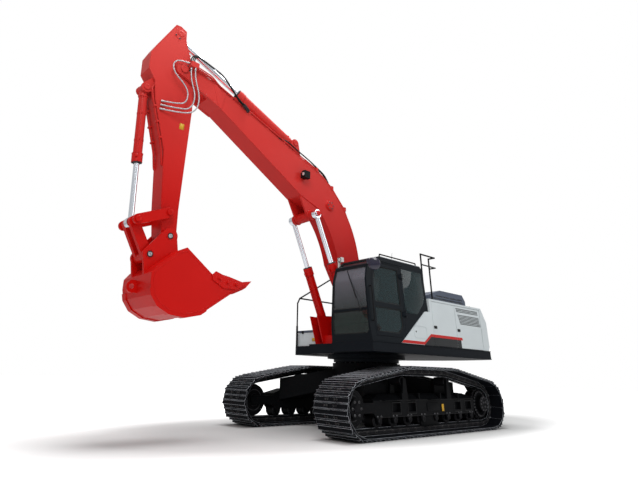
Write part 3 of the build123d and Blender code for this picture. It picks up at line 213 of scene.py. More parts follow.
# ------------------------------------------------------------ track shoes
# Forty-eight rolled steel shoes a side, each with three grousers across it. They are painted black at the
# works, and the ground rubs the grousers and the shoes' edges bright again.
def dress(finish, *nodes):
    """Gives the finish to CAD nodes, which keep their shape."""
    for name in nodes:
        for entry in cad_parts[name].material_slots:
            entry.material = finish.material


def noise(finish, scale, detail=3.0, roughness=0.55, stretch=(1, 1, 1)):
    """Cloudy noise fixed to the object, 'scale' grains to the metre, drawn out where 'stretch' is small."""
    where = finish.node("ShaderNodeTexCoord", out="Object")
    spread = finish.node("ShaderNodeMapping", {}, {"Vector": where, "Scale": stretch})
    return finish.node("ShaderNodeTexNoise", {}, {"Vector": spread, "Scale": scale, "Detail": detail,
                                                  "Roughness": roughness})


def bare_edges(name, slot, colour, metal, amount=0.6):
    """Painted steel rubbed to metal in broken patches where the rounded normal leaves the flat one."""
    worn = Finish(name, slot)
    soft = worn.node("ShaderNodeBevel", {"samples": 6}, {"Radius": 0.010})
    flat = worn.node("ShaderNodeNewGeometry", out="Normal")
    alike = worn.node("ShaderNodeVectorMath", {"operation": "DOT_PRODUCT"}, {0: soft, 1: flat}, "Value")
    away = 1.0 - alike
    patches = noise(worn, 9.0, 5.0, 0.65)
    rub = (away * 16.0).between(0.15, 1.2) * patches.between(0.22, 0.52) * amount
    tone = worn.mix(patches, colour + (1,), tuple(c * 1.7 for c in colour) + (1,))
    grain = worn.node("ShaderNodeBump", {}, {"Strength": 0.2, "Distance": 0.003, "Normal": soft,
                                             "Height": noise(worn, 85.0, 4.0)})
    return worn.set(Base_Color=worn.mix(rub, tone, metal + (1,)), Metallic=rub * 0.9, Normal=grain,
                    Roughness=0.52 - 0.18 * rub, Specular_IOR_Level=0.05)


shoe_steel = bare_edges("shoe_steel", "track_steel", (0.004, 0.0045, 0.006), (0.62, 0.65, 0.70), 0.8)
dress(shoe_steel, "track_left", "track_right")


# ------------------------------------------------------------ track chains
# Forged links with an outline like a dog's bone, one pitch long, in pairs, one on either side of the
# shoes' middle. Pins pressed through their ends join them, and the shoes are bolted to their outer edge.
def solid_piece(name, body, finish, *stacks):
    """A mesh of closed surfaces. A stack is an array (..., rings, points, xyz): quads join each ring to the
    next and a face closes either end, or, where the last ring is the first again, the surface closes on
    itself. A stack that would face inwards is turned round."""
    points, faces, base = [], [], 0
    for stack in stacks:
        stack = np.asarray(stack, float)
        loop = np.allclose(stack[..., 0, :, :], stack[..., -1, :, :])
        stack = stack[..., :-1, :, :] if loop else stack
        rings, sides = stack.shape[-3:-1]
        stack = stack.reshape(-1, rings, sides, 3)
        number = np.arange(rings * sides).reshape(rings, sides)
        here = number if loop else number[:-1]
        there = np.roll(number, -1, axis=0) if loop else number[1:]
        quads = np.stack([here, np.roll(here, -1, axis=1), np.roll(there, -1, axis=1), there], axis=-1)
        quads = quads.reshape(-1, 4)
        spots = stack.reshape(len(stack), -1, 3)
        a, b, c, d = (spots[:, quads[:, i]] for i in range(4))
        volume = (a * np.cross(b, c) + a * np.cross(c, d)).sum((1, 2))
        if not loop:
            for ring, sign in ((stack[:, 0], -1.0), (stack[:, -1], 1.0)):
                middle = ring.mean(axis=1, keepdims=True)
                volume += sign * (middle * np.cross(ring, np.roll(ring, -1, axis=1))).sum((1, 2))
        caps = np.zeros((0, sides), int) if loop else np.stack([number[0, ::-1], number[-1]])
        first = base + np.arange(len(stack))[:, None, None] * rings * sides
        for part in (quads, caps):
            out = np.where(volume[:, None, None] < 0, part[None, :, ::-1], part[None]) + first
            faces += out.reshape(-1, part.shape[1]).tolist()
        points.append(spots.reshape(-1, 3))
        base += len(points[-1])
    mesh = bpy.data.meshes.new(name)
    mesh.from_pydata(np.concatenate(points).tolist(), [], faces)
    mesh.polygons.foreach_set("use_smooth", np.ones(len(mesh.polygons), bool))
    mesh.set_sharp_from_angle(angle=0.6)
    mesh.materials.append(finish.material)
    piece = bpy.data.objects.new(name, mesh)
    bpy.context.collection.objects.link(piece)
    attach(piece, body)
    return piece


def turned(start, axis, profile, sides=20):
    """A profile of (distance along, radius) spun about an axis: start + distance * axis + radius * (cosine
    of the turn * side + sine of the turn * rise). Several starts give several copies."""
    start = np.asarray(start, float).reshape(-1, 3)
    axis = np.broadcast_to(np.asarray(axis, float), start.shape)
    axis = axis / np.linalg.norm(axis, axis=1, keepdims=True)
    side = np.cross(np.where(np.abs(axis[:, 2:]) > 0.8, [[1.0, 0, 0]], [[0, 0, 1.0]]), axis)
    side /= np.linalg.norm(side, axis=1, keepdims=True)
    rise = np.cross(axis, side)
    turn = 2 * np.pi * np.arange(sides) / sides
    around = np.cos(turn)[:, None] * side[:, None] + np.sin(turn)[:, None] * rise[:, None]
    profile = np.asarray(profile, float)
    along = profile[None, :, :1, None].transpose(0, 1, 3, 2) * axis[:, None, None]
    return start[:, None, None] + along + profile[None, :, 1:, None] * around[:, None]


swing_x = float(np.mean([corner[0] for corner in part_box("slew_ring_fixed")]))
track_y = float(np.mean([corner[1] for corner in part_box("track_left")]))
pin_depth, pitch_count = 0.094, 48
wheel_x, wheel_r = 1.990, 0.442
carrier_x, carrier_r, track_top = 0.690, 0.238, 1.090
wheel_pin_r, carrier_pin_r = wheel_r - pin_depth, carrier_r - pin_depth
carrier_z = track_top - carrier_r
between_x, between_z = wheel_x - carrier_x, carrier_z - wheel_r
pin_r_fall = wheel_pin_r - carrier_pin_r
lean = np.arctan2(between_z, between_x) - np.arcsin(pin_r_fall / np.hypot(between_x, between_z))
slope = np.sqrt(between_x ** 2 + between_z ** 2 - pin_r_fall ** 2)
wheel_arc, carrier_arc = (np.pi - lean) * wheel_pin_r, lean * carrier_pin_r
legs = np.array([2 * wheel_x, wheel_arc, slope, carrier_arc, 2 * carrier_x, carrier_arc, slope, wheel_arc])


def loop_points(s):
    """Pins at the lengths s along the loop. Its legs are straight, or arcs of centre + radius * (cosine,
    sine) round the wheels and over the carrier rollers: bottom, front wheel, front slope, front carrier,
    top, and back down."""
    s = s % legs.sum()
    starts = np.concatenate([[0], np.cumsum(legs)[:-1]])
    t = s[:, None] - starts[None]
    down, front, rear = -np.pi / 2 + t[:, 1] / wheel_pin_r, np.pi / 2 - lean, np.pi / 2 + lean
    over_front = front + t[:, 3] / carrier_pin_r
    over_rear = front + (carrier_arc - t[:, 5]) / carrier_pin_r
    up = rear + t[:, 7] / wheel_pin_r
    x = np.stack([-wheel_x + t[:, 0],
                  wheel_x + wheel_pin_r * np.cos(down),
                  wheel_x + wheel_pin_r * np.cos(front) - t[:, 2] * np.cos(lean),
                  carrier_x + carrier_pin_r * np.cos(over_front),
                  carrier_x - t[:, 4],
                  -carrier_x - carrier_pin_r * np.cos(over_rear),
                  -wheel_x - wheel_pin_r * np.cos(front) + (slope - t[:, 6]) * np.cos(lean),
                  -wheel_x + wheel_pin_r * np.cos(up)], axis=1)
    z = np.stack([np.full(len(s), pin_depth),
                  wheel_r + wheel_pin_r * np.sin(down),
                  wheel_r + wheel_pin_r * np.sin(front) + t[:, 2] * np.sin(lean),
                  carrier_z + carrier_pin_r * np.sin(over_front),
                  np.full(len(s), track_top - pin_depth),
                  carrier_z + carrier_pin_r * np.sin(over_rear),
                  wheel_r + wheel_pin_r * np.sin(front) + (slope - t[:, 6]) * np.sin(lean),
                  wheel_r + wheel_pin_r * np.sin(up)], axis=1)
    leg = (s[:, None] >= starts[None]).sum(1) - 1
    row = np.arange(len(s))
    return np.stack([x[row, leg] + swing_x, z[row, leg]], axis=1)


first_pin = 0.040
pins = loop_points(np.arange(pitch_count) * legs.sum() / pitch_count + first_pin)
step = np.roll(pins, -1, axis=0) - pins
pitch = np.linalg.norm(step, axis=1, keepdims=True)
forward = step / pitch
outward = np.stack([forward[:, 1], -forward[:, 0]], axis=1)


def on_loop(along, up, y):
    """Points of every shoe: its first pin + along * the way to the next pin + up * outwards, at y."""
    flat = pins[:, None] + along[None, :, None] * forward[:, None] + up[None, :, None] * outward[:, None]
    return np.stack([flat[..., 0], np.full(flat.shape[:2], y), flat[..., 1]], axis=-1)


link_half_height, link_waist, link_end = 0.034, 0.30, 0.028
link_inside, link_outside = 0.095, 0.104
pin_end = [(0, 0.019), (0.006, 0.019), (0.009, 0.014)]
link_length = pitch.mean()
turn = np.linspace(0, 2 * np.pi, 24, endpoint=False)
link_along = 0.5 * link_length + 0.5 * link_length * np.cos(turn) * 1.02
link_along += link_end * np.sign(np.cos(turn)) * (np.abs(np.cos(turn)) > 0.3)
from_middle = np.clip((link_along / link_length - 0.5) * 1.6, -0.5, 0.5)
link_up = link_half_height * np.sin(turn) * (1.0 - link_waist * np.cos(np.pi * from_middle))
chain_parts = []
for sign in (1, -1):
    for s in (1, -1):
        layers = ((1.0, link_inside), (1.0, link_outside), (0.86, link_outside + 0.003))
        rings = [on_loop(link_along, link_up * k, sign * (track_y + s * y)) for k, y in layers]
        chain_parts.append(np.stack(rings, axis=1))
for sign in (1, -1):
    for s in (1, -1):
        pin_ends = on_loop(np.zeros(1), np.zeros(1), sign * (track_y + s * link_outside)).reshape(-1, 3)
        chain_parts.append(turned(pin_ends, (0, sign * s, 0), pin_end, sides=8))
chain_steel = bare_edges("chain_steel", "track_steel", (0.014, 0.014, 0.016), (0.30, 0.29, 0.28), 0.5)
solid_piece("chain_links", "undercarriage", chain_steel, *chain_parts)

# ------------------------------------------------------------ shoe bolts
# Each shoe is held down by eight hexagon bolts, four beside either row of links. They are hardened steel
# and lose their paint as the chain does.
seat_up = pin_depth - 0.028
bolt_along = np.array([0.30, 0.72]) * link_length
bolt_axis = np.stack([outward[:, 0], np.zeros(pitch_count), outward[:, 1]], axis=1)
shoe_bolt = [(-0.001, 0.016), (0.013, 0.016), (0.015, 0.013)]
shoe_bolts = []
for sign in (1, -1):
    for y in (-0.125, -0.075, 0.075, 0.125):
        seats = on_loop(bolt_along, np.full(2, seat_up), sign * track_y + y)
        for i in range(2):
            shoe_bolts.append(turned(seats[:, i], bolt_axis, shoe_bolt, sides=6))
solid_piece("shoe_bolts", "undercarriage", chain_steel, *shoe_bolts)


# ------------------------------------------------------------ wheels, rollers and drives
# Cast idlers, rollers and drive covers turn in welded side frames, all in satin black. Caps close the
# idlers' shafts, collars hold the rollers' shafts outside the frame, and each drive has a stepped cover in
# a ring of bolts.
def enamel(name, slot, colour, rough=0.32, coat=0.25, dull=0.06, dust=0.10, shine=0.35):
    """Sprayed enamel: slow drifts of tone, faint orange peel, softened edges, and dust towards the ground."""
    paint = Finish(name, slot)
    z = paint.place()[2]
    drift = noise(paint, 1.3, 4.0)
    fine = noise(paint, 34.0, 5.0, 0.7)
    darker = tuple(c * (1 - 2.2 * dull) for c in colour) + (1,)
    body = paint.mix(drift.between(0.3, 0.7), darker, colour + (1,))
    film = (1.0 - z.between(0.0, 2.2)) * fine.between(0.45, 0.75) * dust
    soft = paint.node("ShaderNodeBevel", {"samples": 4}, {"Radius": 0.006})
    peel = paint.node("ShaderNodeBump", {}, {"Strength": 0.05, "Distance": 0.002, "Normal": soft,
                                             "Height": noise(paint, 260.0, 2.0)})
    paint.skin = paint.mix(film, body, (0.20, 0.18, 0.16, 1))
    return paint.set(Base_Color=paint.skin, Normal=peel, Coat_Weight=coat, Roughness=rough + 0.12 * fine,
                     Coat_Roughness=0.12, Specular_IOR_Level=shine)


def bolts(places, axis, across, washer=True):
    """Hexagon heads, each on a washer: six flats with a small chamfer, 'across' wide over the corners."""
    high = across * 0.65
    head = [(-0.002, across * 0.5), (high * 0.86, across * 0.5), (high, across * 0.42)]
    stacks = [turned(places, axis, head, sides=6)]
    if washer:
        stacks.append(turned(places, axis, [(-0.002, across * 0.74), (0.003, across * 0.74),
                                            (0.004, across * 0.70)], sides=12))
    return stacks


def upright_circle(centre, radius, turns):
    """Points round a circle that stands upright: centre + radius * (cosine, 0, sine) of the given turns."""
    return np.stack([centre[0] + radius * np.cos(turns), np.full(len(turns), centre[1]),
                     centre[2] + radius * np.sin(turns)], axis=1)


def spaced_turns(count):
    """Angles at equal steps round a circle: 0, 1, 2 ... times the full circle / count."""
    return np.arange(count) * 2 * np.pi / count


frame_black = enamel("frame_black", "frame_black", (0.0035, 0.004, 0.005), rough=0.42, coat=0.0, dust=0.03,
                     shine=0.05)
dress(frame_black, "track_frame_left", "track_frame_right", "carbody", "slew_ring_fixed", "final_drives")
cast_black = bare_edges("cast_black", "frame_black", (0.006, 0.006, 0.007), (0.16, 0.16, 0.17), 0.5)
dress(cast_black, "bottom_rollers", "carrier_rollers", "idlers", "sprockets")

frame_wall = 0.165
roller_x = swing_x + np.array([-1.420, -1.010, -0.600, -0.200, 0.200, 0.600, 1.010, 1.420])
roller_z = float(np.mean([corner[2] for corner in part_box("bottom_rollers")]))
idler_cap = [(0, 0.070), (0.012, 0.070), (0.018, 0.062), (0.020, 0.020)]
idler_web = [(0, 0.235), (0.005, 0.232), (0.007, 0.225), (0.007, 0.200), (0.003, 0.190), (0.0, 0.16)]
roller_rim = [(-0.012, 0.096), (-0.004, 0.098), (0.0, 0.094), (0.0, 0.060)]
roller_collar = [(-0.005, 0.044), (0.012, 0.044), (0.018, 0.038), (0.019, 0.012)]
drive_cover = [(0, 0.150), (0.012, 0.150), (0.020, 0.142), (0.022, 0.100), (0.030, 0.092), (0.032, 0.030)]
# how far out the faces lie (the cap's from the wall, the cover's from the drive, the others' from the
# track's middle), and the radii of the bolt circles
cap_out, web_out, rim_out, drive_out, cover_out = 0.024, 0.097, 0.103, 0.061, 0.078
cap_circle, drive_circle, cover_circle, plug_circle = 0.105, 0.225, 0.125, 0.050
cap_parts, bolt_parts = [], []
for sign in (1, -1):
    out = np.array([0.0, sign, 0.0])
    face = sign * (track_y + frame_wall)
    idler = np.array([swing_x + wheel_x, 0.0, wheel_r])
    cap_face = idler + [0, face + sign * (cap_out + 0.002), 0]
    bolt_parts += bolts(upright_circle(cap_face, cap_circle, spaced_turns(6)), out, 0.030)
    cap_parts.append(turned(idler + [0, face + sign * cap_out, 0], out, idler_cap, 32))
    for s in (1, -1):
        side = np.array([0.0, s, 0.0])
        cap_parts.append(turned(idler + [0, sign * track_y + s * web_out, 0], side, idler_web, 48))
        rims = np.stack([roller_x, np.full(8, sign * track_y + s * rim_out), np.full(8, roller_z)], axis=1)
        cap_parts.append(turned(rims, side, roller_rim, 28))
    ends = np.stack([roller_x, np.full(8, face), np.full(8, roller_z + 0.004)], axis=1)
    cap_parts.append(turned(ends, out, roller_collar, 20))
    bolt_parts += bolts(np.concatenate([ends + [dx, 0, 0.062] for dx in (-0.045, 0.045)]), out, 0.026)
    drive = np.array([swing_x - wheel_x, sign * (track_y + drive_out), wheel_r])
    cover = drive + [0, sign * cover_out, 0]
    cap_parts.append(turned(cover, out, drive_cover, 40))
    bolt_parts += bolts(upright_circle(drive, drive_circle, spaced_turns(24)), out, 0.026)
    step_face, middle_face = cover + [0, sign * 0.020, 0], cover + [0, sign * 0.031, 0]
    bolt_parts += bolts(upright_circle(step_face, cover_circle, spaced_turns(12)), out, 0.020)
    plug_turns = np.array([0.5, 2.6, 4.7])
    bolt_parts += bolts(upright_circle(middle_face, plug_circle, plug_turns), out, 0.030)
solid_piece("wheel_caps", "undercarriage", cast_black, *cap_parts)
black_bolt = bare_edges("black_bolt", "frame_black", (0.016, 0.016, 0.018), (0.22, 0.22, 0.23), 0.7)
solid_piece("undercarriage_bolts", "undercarriage", black_bolt, *bolt_parts)


# ------------------------------------------------------------ side frames
# Boxes welded from steel plate, with a seam along each edge and round each window. A recoil cover is bolted
# to the outer wall, a chain guard hangs below it, and two steps of folded plate are welded on top.
def eased(corners, reach, steps=4, closed=False):
    """Corners rounded by parabolas: (1 - t)^2 * before + 2 t (1 - t) * corner + t^2 * after, where before
    and after lie 'reach' away along the two sides, or half a side."""
    corners = np.asarray(corners, float)
    before = np.roll(corners, 1, axis=0) - corners
    after = np.roll(corners, -1, axis=0) - corners
    long_before = np.linalg.norm(before, axis=1, keepdims=True)
    long_after = np.linalg.norm(after, axis=1, keepdims=True)
    p = corners + before / long_before * np.minimum(reach, 0.48 * long_before)
    q = corners + after / long_after * np.minimum(reach, 0.48 * long_after)
    t = (np.arange(steps) / (steps - 1.0))[None, :, None]
    curve = (1 - t) ** 2 * p[:, None] + 2 * t * (1 - t) * corners[:, None] + t ** 2 * q[:, None]
    if closed:
        return curve.reshape(-1, corners.shape[1])
    return np.concatenate([corners[:1], curve[1:-1].reshape(-1, corners.shape[1]), corners[-1:]])


def rectangle(u0, u1, v0, v1):
    """A rectangle's four corners, in turn."""
    return np.array([[u0, v0], [u1, v0], [u1, v1], [u0, v1]])


def oblong(half_u, half_v, reach):
    """A rectangle about its own middle with eased corners."""
    return eased(rectangle(-half_u, half_u, -half_v, half_v), reach, closed=True)


def mitres(outline):
    """At each corner of a closed outline, the way inwards that keeps its sides parallel at a unit inset."""
    before = outline - np.roll(outline, 1, axis=0)
    after = np.roll(outline, -1, axis=0) - outline
    before = before / np.maximum(np.linalg.norm(before, axis=1, keepdims=True), 1e-9)
    after = after / np.maximum(np.linalg.norm(after, axis=1, keepdims=True), 1e-9)
    following = np.roll(outline, -1, axis=0)
    spin = np.sign((outline[:, 0] * following[:, 1] - following[:, 0] * outline[:, 1]).sum())
    one = spin * np.stack([-before[:, 1], before[:, 0]], axis=1)
    two = spin * np.stack([-after[:, 1], after[:, 0]], axis=1)
    return (one + two) / np.maximum(1 + (one * two).sum(1, keepdims=True), 0.3)


def rim(outline, origin, u, v, profile):
    """A profile of (inset, depth) points carried round a closed outline, as a weld or a gasket runs round a
    plate: origin + (outline + inset * mitre) in u and v + depth * u x v."""
    outline = np.asarray(outline, float)
    u, v = np.asarray(u, float), np.asarray(v, float)
    profile = np.asarray(profile, float)
    flat = outline[:, None] + mitres(outline)[:, None] * profile[None, :, :1]
    ring = np.asarray(origin, float) + flat[..., :1] * u + flat[..., 1:] * v
    ring = ring + profile[None, :, 1:] * np.cross(u, v)
    return np.concatenate([ring, ring[:1]])


def slab(outline, origin, u, v, thick, edge=0.003):
    """A plate: the outline, in lengths along u and v from the origin, is carried along u x v by its
    thickness, and its edge is a quarter round at both faces."""
    outline = np.asarray(outline, float)
    u, v = np.asarray(u, float), np.asarray(v, float)
    turn = np.linspace(0, np.pi / 2, 3)
    inset = edge * np.concatenate([1 - np.sin(turn), 1 - np.cos(turn)])
    depth = np.concatenate([edge * (1 - np.cos(turn)), thick - edge * (1 - np.sin(turn))])
    flat = outline[None] + mitres(outline)[None] * inset[:, None, None]
    return (np.asarray(origin, float)[..., None, None, :] + flat[..., :1] * u + flat[..., 1:] * v
            + depth[:, None, None] * np.cross(u, v))


def bent(corners, radius, reach=0.08, sides=10, steps=5):
    """A round bar or pipe along eased corners: centre + radius * (cosine * side + sine * rise), where side
    and rise are square to the run."""
    run = eased(corners, reach, steps)
    ahead = np.gradient(run, axis=0)
    ahead /= np.linalg.norm(ahead, axis=1, keepdims=True)
    side = np.cross((0.31, 0.90, 0.23), ahead)
    side /= np.linalg.norm(side, axis=1, keepdims=True)
    rise = np.cross(ahead, side)
    turn = 2 * np.pi * np.arange(sides) / sides
    around = np.cos(turn)[:, None] * side[:, None] + np.sin(turn)[:, None] * rise[:, None]
    return run[:, None] + radius * around


window_foot, window_head, window_half = 0.3065, 0.545, 0.115
window_x, step_x = (0.960, 0.520, -0.950, -1.330), (-0.13, 1.18)
window_weld = [(-.012, -.003), (-.004, -.005), (.004, -.003), (-.004, .004)]
seam_parts, plate_parts = [], []
for sign in (1, -1):
    face = sign * (track_y + frame_wall)
    for z, rear, front in ((window_head, -1.55, 1.40), (0.302, -1.48, 1.48)):
        seam = [(swing_x + rear, face, z), (swing_x, face, z), (swing_x + front, face, z)]
        seam_parts.append(bent(seam, 0.007, reach=0.01, sides=6))
    for x in window_x:
        window = rectangle(-window_half, window_half, -.0825, .0825)[::sign]
        middle = (swing_x + x, face, (window_foot + window_head) / 2)
        seam_parts.append(rim(window, middle, (1, 0, 0), (0, 0, 1), window_weld))
    plate_parts.append(slab(oblong(.20, .07, .03), (swing_x - 0.13, face - sign * 0.002, 0.43), (-sign, 0, 0),
                            (0, 0, 1), 0.012))
    for x in step_x:
        tread = [[-.17, 0.0], [.17, 0.0], [.15, .075], [-.15, .075]]
        tread_at = (swing_x + x, face - sign * .001, window_head)
        plate_parts.append(slab(tread, tread_at, (1, 0, 0), (0, sign, 0), 0.012))
    guard = [[-.26, -.10], [.26, -.10], [.26, .03], [.16, .10], [-.16, .10], [-.26, .03]]
    guard_at = (swing_x, sign * (track_y + 0.128), 0.245)
    plate_parts.append(slab(guard, guard_at, (-sign, 0, 0), (0, 0, 1), 0.02))
weld_black = enamel("weld_black", "frame_black", (0.009, 0.009, 0.010), rough=0.35, coat=0.0, dust=0.03,
                    shine=0.12)
solid_piece("frame_seams", "undercarriage", weld_black, *seam_parts)
solid_piece("frame_plates", "undercarriage", frame_black, *plate_parts)

# ------------------------------------------------------------ frame labels
# A blank yellow label on each side frame: thin plate with eased corners, glued to the outer wall above the
# middle rollers.
label_yellow = enamel("label_yellow", "frame_black", (0.75, 0.42, 0.02), rough=0.4, coat=0.1, dust=0.02,
                      shine=0.3)
solid_piece("frame_labels", "undercarriage", label_yellow,
            *[slab(oblong(.035, .06, .008), (swing_x - 0.43, sign * (track_y + frame_wall + .009), 0.41),
                   (-sign, 0, 0), (0, 0, 1), .0012, .0004) for sign in (1, -1)])

# ------------------------------------------------------------ slewing ring bolts
# The ring that the upper structure turns on is bolted to the middle frame, by thirty-six hexagon bolts in a
# circle through its flange.
ring_top, ring_circle, ring_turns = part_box("carbody")[1][2], 0.63, spaced_turns(36)
ring_bolts = np.stack([swing_x + ring_circle * np.cos(ring_turns), ring_circle * np.sin(ring_turns),
                       np.full(36, ring_top)], axis=1)
solid_piece("slewing_bolts", "undercarriage", black_bolt, *bolts(ring_bolts, (0, 0, 1), 0.030))


# ------------------------------------------------------------ deck
# The platform that turns on the ring: a thick welded plate with boxed edges, painted dark slate. A rolled
# ledge runs along the top and the bottom of either side.
slate = enamel("deck_slate", "deck_slate", (0.0065, 0.009, 0.013), rough=0.38, coat=0.0, dust=0.03,
               shine=0.07)
dress(slate, "deck", "slew_ring_moving", "step_box")
side_y = 1.460


def beam(section, starts, ends):
    """A section of (across, up) points in y and z carried straight from each start to its end."""
    section = np.asarray(section, float)
    section = np.column_stack([np.zeros(len(section)), section])
    run = np.stack([np.reshape(starts, (-1, 3)), np.reshape(ends, (-1, 3))], axis=1)
    return run[:, :, None] + section[None, None]


ledge = np.array([[-.004, 0], [.010, 0], [.014, .004], [.014, .012], [.010, .016], [-.004, .016]])
ledges = []
for sign, nose in ((1, 1.50), (-1, 0.645)):
    for z in (1.298, 1.4555):
        ledges.append(beam(ledge * [sign, 1], [(swing_x - 2.55, sign * side_y, z)],
                           [(swing_x + nose, sign * side_y, z)]))
solid_piece("deck_ledges", "upper", slate, *ledges)

# ------------------------------------------------------------ grip plates of the steps
# Where the crew steps up, the tool box's lid and the step box behind it carry a bolted steel plate with
# rows of raised studs. Boots keep the studs' tops bright.
grip = bare_edges("grip_plate", "deck_slate", (0.020, 0.022, 0.026), (0.20, 0.20, 0.21), 0.7)


def studs(xs, ys, z, foot):
    """Low cones of radius 'foot' where the rows at xs cross the rows at ys, on a flat plate at z."""
    spots = np.stack(np.meshgrid(xs, ys), -1).reshape(-1, 2)
    return turned(np.column_stack([spots, np.full(len(spots), z)]), (0, 0, 1),
                  [(0, foot), (.004, foot - .002), (.005, .006)], 8)


stud_rows = np.arange(-1.36, -0.56, 0.045)
for name, body, rear, front, stud_rear, stud_front, top in (
        ("lid_grip", "toolbox_lid_body", .19, .69, 0.20, 0.68, 1.796),
        ("step_grip", "upper", -.53, .12, -0.50, 0.14, 1.942)):
    plate = rectangle(swing_x + rear, swing_x + front, -1.385, -.535)
    solid_piece(name, body, grip, slab(plate, (0, 0, top), (1, 0, 0), (0, 1, 0), .004, .002),
                studs(swing_x + np.arange(stud_rear, stud_front, 0.045), stud_rows, top + .0035, .011))

# ------------------------------------------------------------ front box
# The tool box ahead of the tanks: its front has a blank yellow label and four vent slots under plastic
# caps, and two plastic latches hold its lid down.
box_front = swing_x + 0.700
solid_piece("box_label", "upper", label_yellow,
            slab(oblong(.065, .035, .008), (box_front - .0002, -0.86, 1.60), (0, 1, 0), (0, 0, 1),
                 .0014, .0004))
dark_plastic = enamel("dark_plastic", "rail_black", (0.009, 0.009, 0.010), rough=0.45, coat=0.0, dust=0.02,
                      shine=0.2)
solid_piece("box_vents", "upper", dark_plastic,
            *[slab(oblong(.07, .007, .006), (box_front - .0002, -0.665, 1.545 + .035 * i),
                   (0, 1, 0), (0, 0, 1), .004, .0015) for i in range(4)])
latch = eased(rectangle(-.03, .03, -.042, .02), .01, closed=True)
solid_piece("box_latches", "toolbox_lid_body", dark_plastic,
            *[slab(latch, (box_front + .0062, y, 1.772), (0, 1, 0), (0, 0, 1), .014, .004)
              for y in (-1.22, -.70)])

# ------------------------------------------------------------ side covers, tanks and counterweight
# Pressed steel covers and doors, welded tanks and a cast counterweight, all in pale grey enamel. A red line
# with a step in it runs along both sides, over a black field low down that reaches from the cab to the rear
# door.
pale_grey = enamel("house_white", "house_white", (0.66, 0.72, 0.74), rough=0.30, coat=0.2, dull=0.03,
                   dust=0.05, shine=0.3)
dress(pale_grey, "side_cover", "house_frame", "counterweight", "left_front_door", "left_rear_door",
      "right_door", "fuel_tank", "hydraulic_tank", "toolbox")
x, y, z = pale_grey.place()
line_low, line_step, line_half = 1.505, 0.155, 0.026
red_line = line_low + line_step * (-1.0 * x).between(1.50, 1.74)
on_sides = abs(y) > side_y - 0.005
line = (abs(z - red_line) < line_half) * (x > -2.90 + 0.4 * (z - 1.66))
field = (z < red_line - line_half) * (x > -2.84) * (x < -1.49)
lined = pale_grey.mix(line * on_sides, pale_grey.skin, (0.55, 0.008, 0.006, 1))
pale_grey.set(Base_Color=pale_grey.mix(field * on_sides, lined, (0.008, 0.010, 0.012, 1)))

# ------------------------------------------------------------ hood and engine
# The engine's hood and the tool box's lid are pressed steel in blue grey. The engine and its radiator under
# the hood are castings and pressings in a duller grey.
hood_grey = enamel("hood_grey", "hood_grey", (0.085, 0.102, 0.145), rough=0.42, coat=0.1)
dress(hood_grey, "engine_hood", "toolbox_lid")
engine_grey = enamel("engine_grey", "engine_grey", (0.12, 0.12, 0.125), rough=0.5, coat=0.0)
dress(engine_grey, "engine", "radiator")

# ------------------------------------------------------------ louvres of the rear service door
# Slanted steel blades in the door's ten slots, seven below a bar and three above it. A woven wire screen
# behind them keeps leaves out of the radiator.
house_rear, split_x = swing_x - 2.290, swing_x - 1.255
screen = Finish("woven_screen", "hood_grey")
x, y, z = screen.place()
strand = (abs((x * 520.0).maths("SINE")) + abs((z * 520.0).maths("SINE"))) * 0.5
screen.set(Base_Color=screen.mix(strand.between(0.35, 0.8), (0.004, 0.004, 0.005, 1), (0.10, 0.10, 0.11, 1)),
           Metallic=0.4, Roughness=0.5)
slot_z = np.concatenate([1.955 + 0.029 * np.arange(7), 2.200 + 0.029 * np.arange(3)])
drop = 2.290 - slot_z
blade_y = np.full(len(slot_z), side_y)
blade_rear = house_rear + 0.096 - 0.25 * drop
blade_front = split_x - 0.038 - 0.42 * drop
blade = [[-.036, .0150], [-.034, .0165], [-.004, .0045], [-.004, .0020]]
louvre_grey = enamel("louvre_grey", "hood_grey", (0.20, 0.205, 0.215), rough=0.4, coat=0.0, dust=0.03,
                     shine=0.3)
solid_piece("door_louvres", "left_rear_door_body", louvre_grey,
            beam(blade, np.column_stack([blade_rear, blade_y, slot_z]),
                 np.column_stack([blade_front, blade_y, slot_z])))
screen_line = [[house_rear + .03, 1.945], [split_x - .17, 1.945],
               [split_x - .03, 2.29], [house_rear + .08, 2.29]]
solid_piece("door_screen", "left_rear_door_body", screen,
            slab(screen_line, (0, side_y - .0405, 0), (1, 0, 0), (0, 0, 1), .004, .001))

# ------------------------------------------------------------ louvres of the hood
# The hood's two sides have three rows of four slots. Each slot has two slanted blades, and one wire screen
# a side covers the slots from within.
hood_front = swing_x - 0.780
hood_blade = np.array([[-.020, .0110], [-.018, .0130], [-.002, .0030], [-.002, .0005]])
hood_blades = []
for z, rear, front in ((2.408, .100, .060), (2.466, .110, .130), (2.524, .125, .300)):
    slot = (hood_front - front - house_rear - rear) / 4
    edges = house_rear + rear + slot * np.arange(4)
    for wall, sign in ((1.150, 1), (-0.870, -1)):
        for lift in (0.001, 0.015):
            wall_y, blade_z = np.full(4, wall), np.full(4, z + lift)
            hood_blades.append(beam(hood_blade * [sign, 1], np.column_stack([edges + .016, wall_y, blade_z]),
                                    np.column_stack([edges + slot - .016, wall_y, blade_z])))
solid_piece("hood_louvres", "hood_body", louvre_grey, *hood_blades)
screen_line = [[house_rear + .07, 2.398], [hood_front - .04, 2.398], [hood_front - .10, 2.50],
               [hood_front - .30, 2.565], [house_rear + .10, 2.565]]
solid_piece("hood_screens", "hood_body", screen,
            *[slab(screen_line, (0, y, 0), (1, 0, 0), (0, 0, 1), .003, .001) for y in (1.1245, -0.8420)])

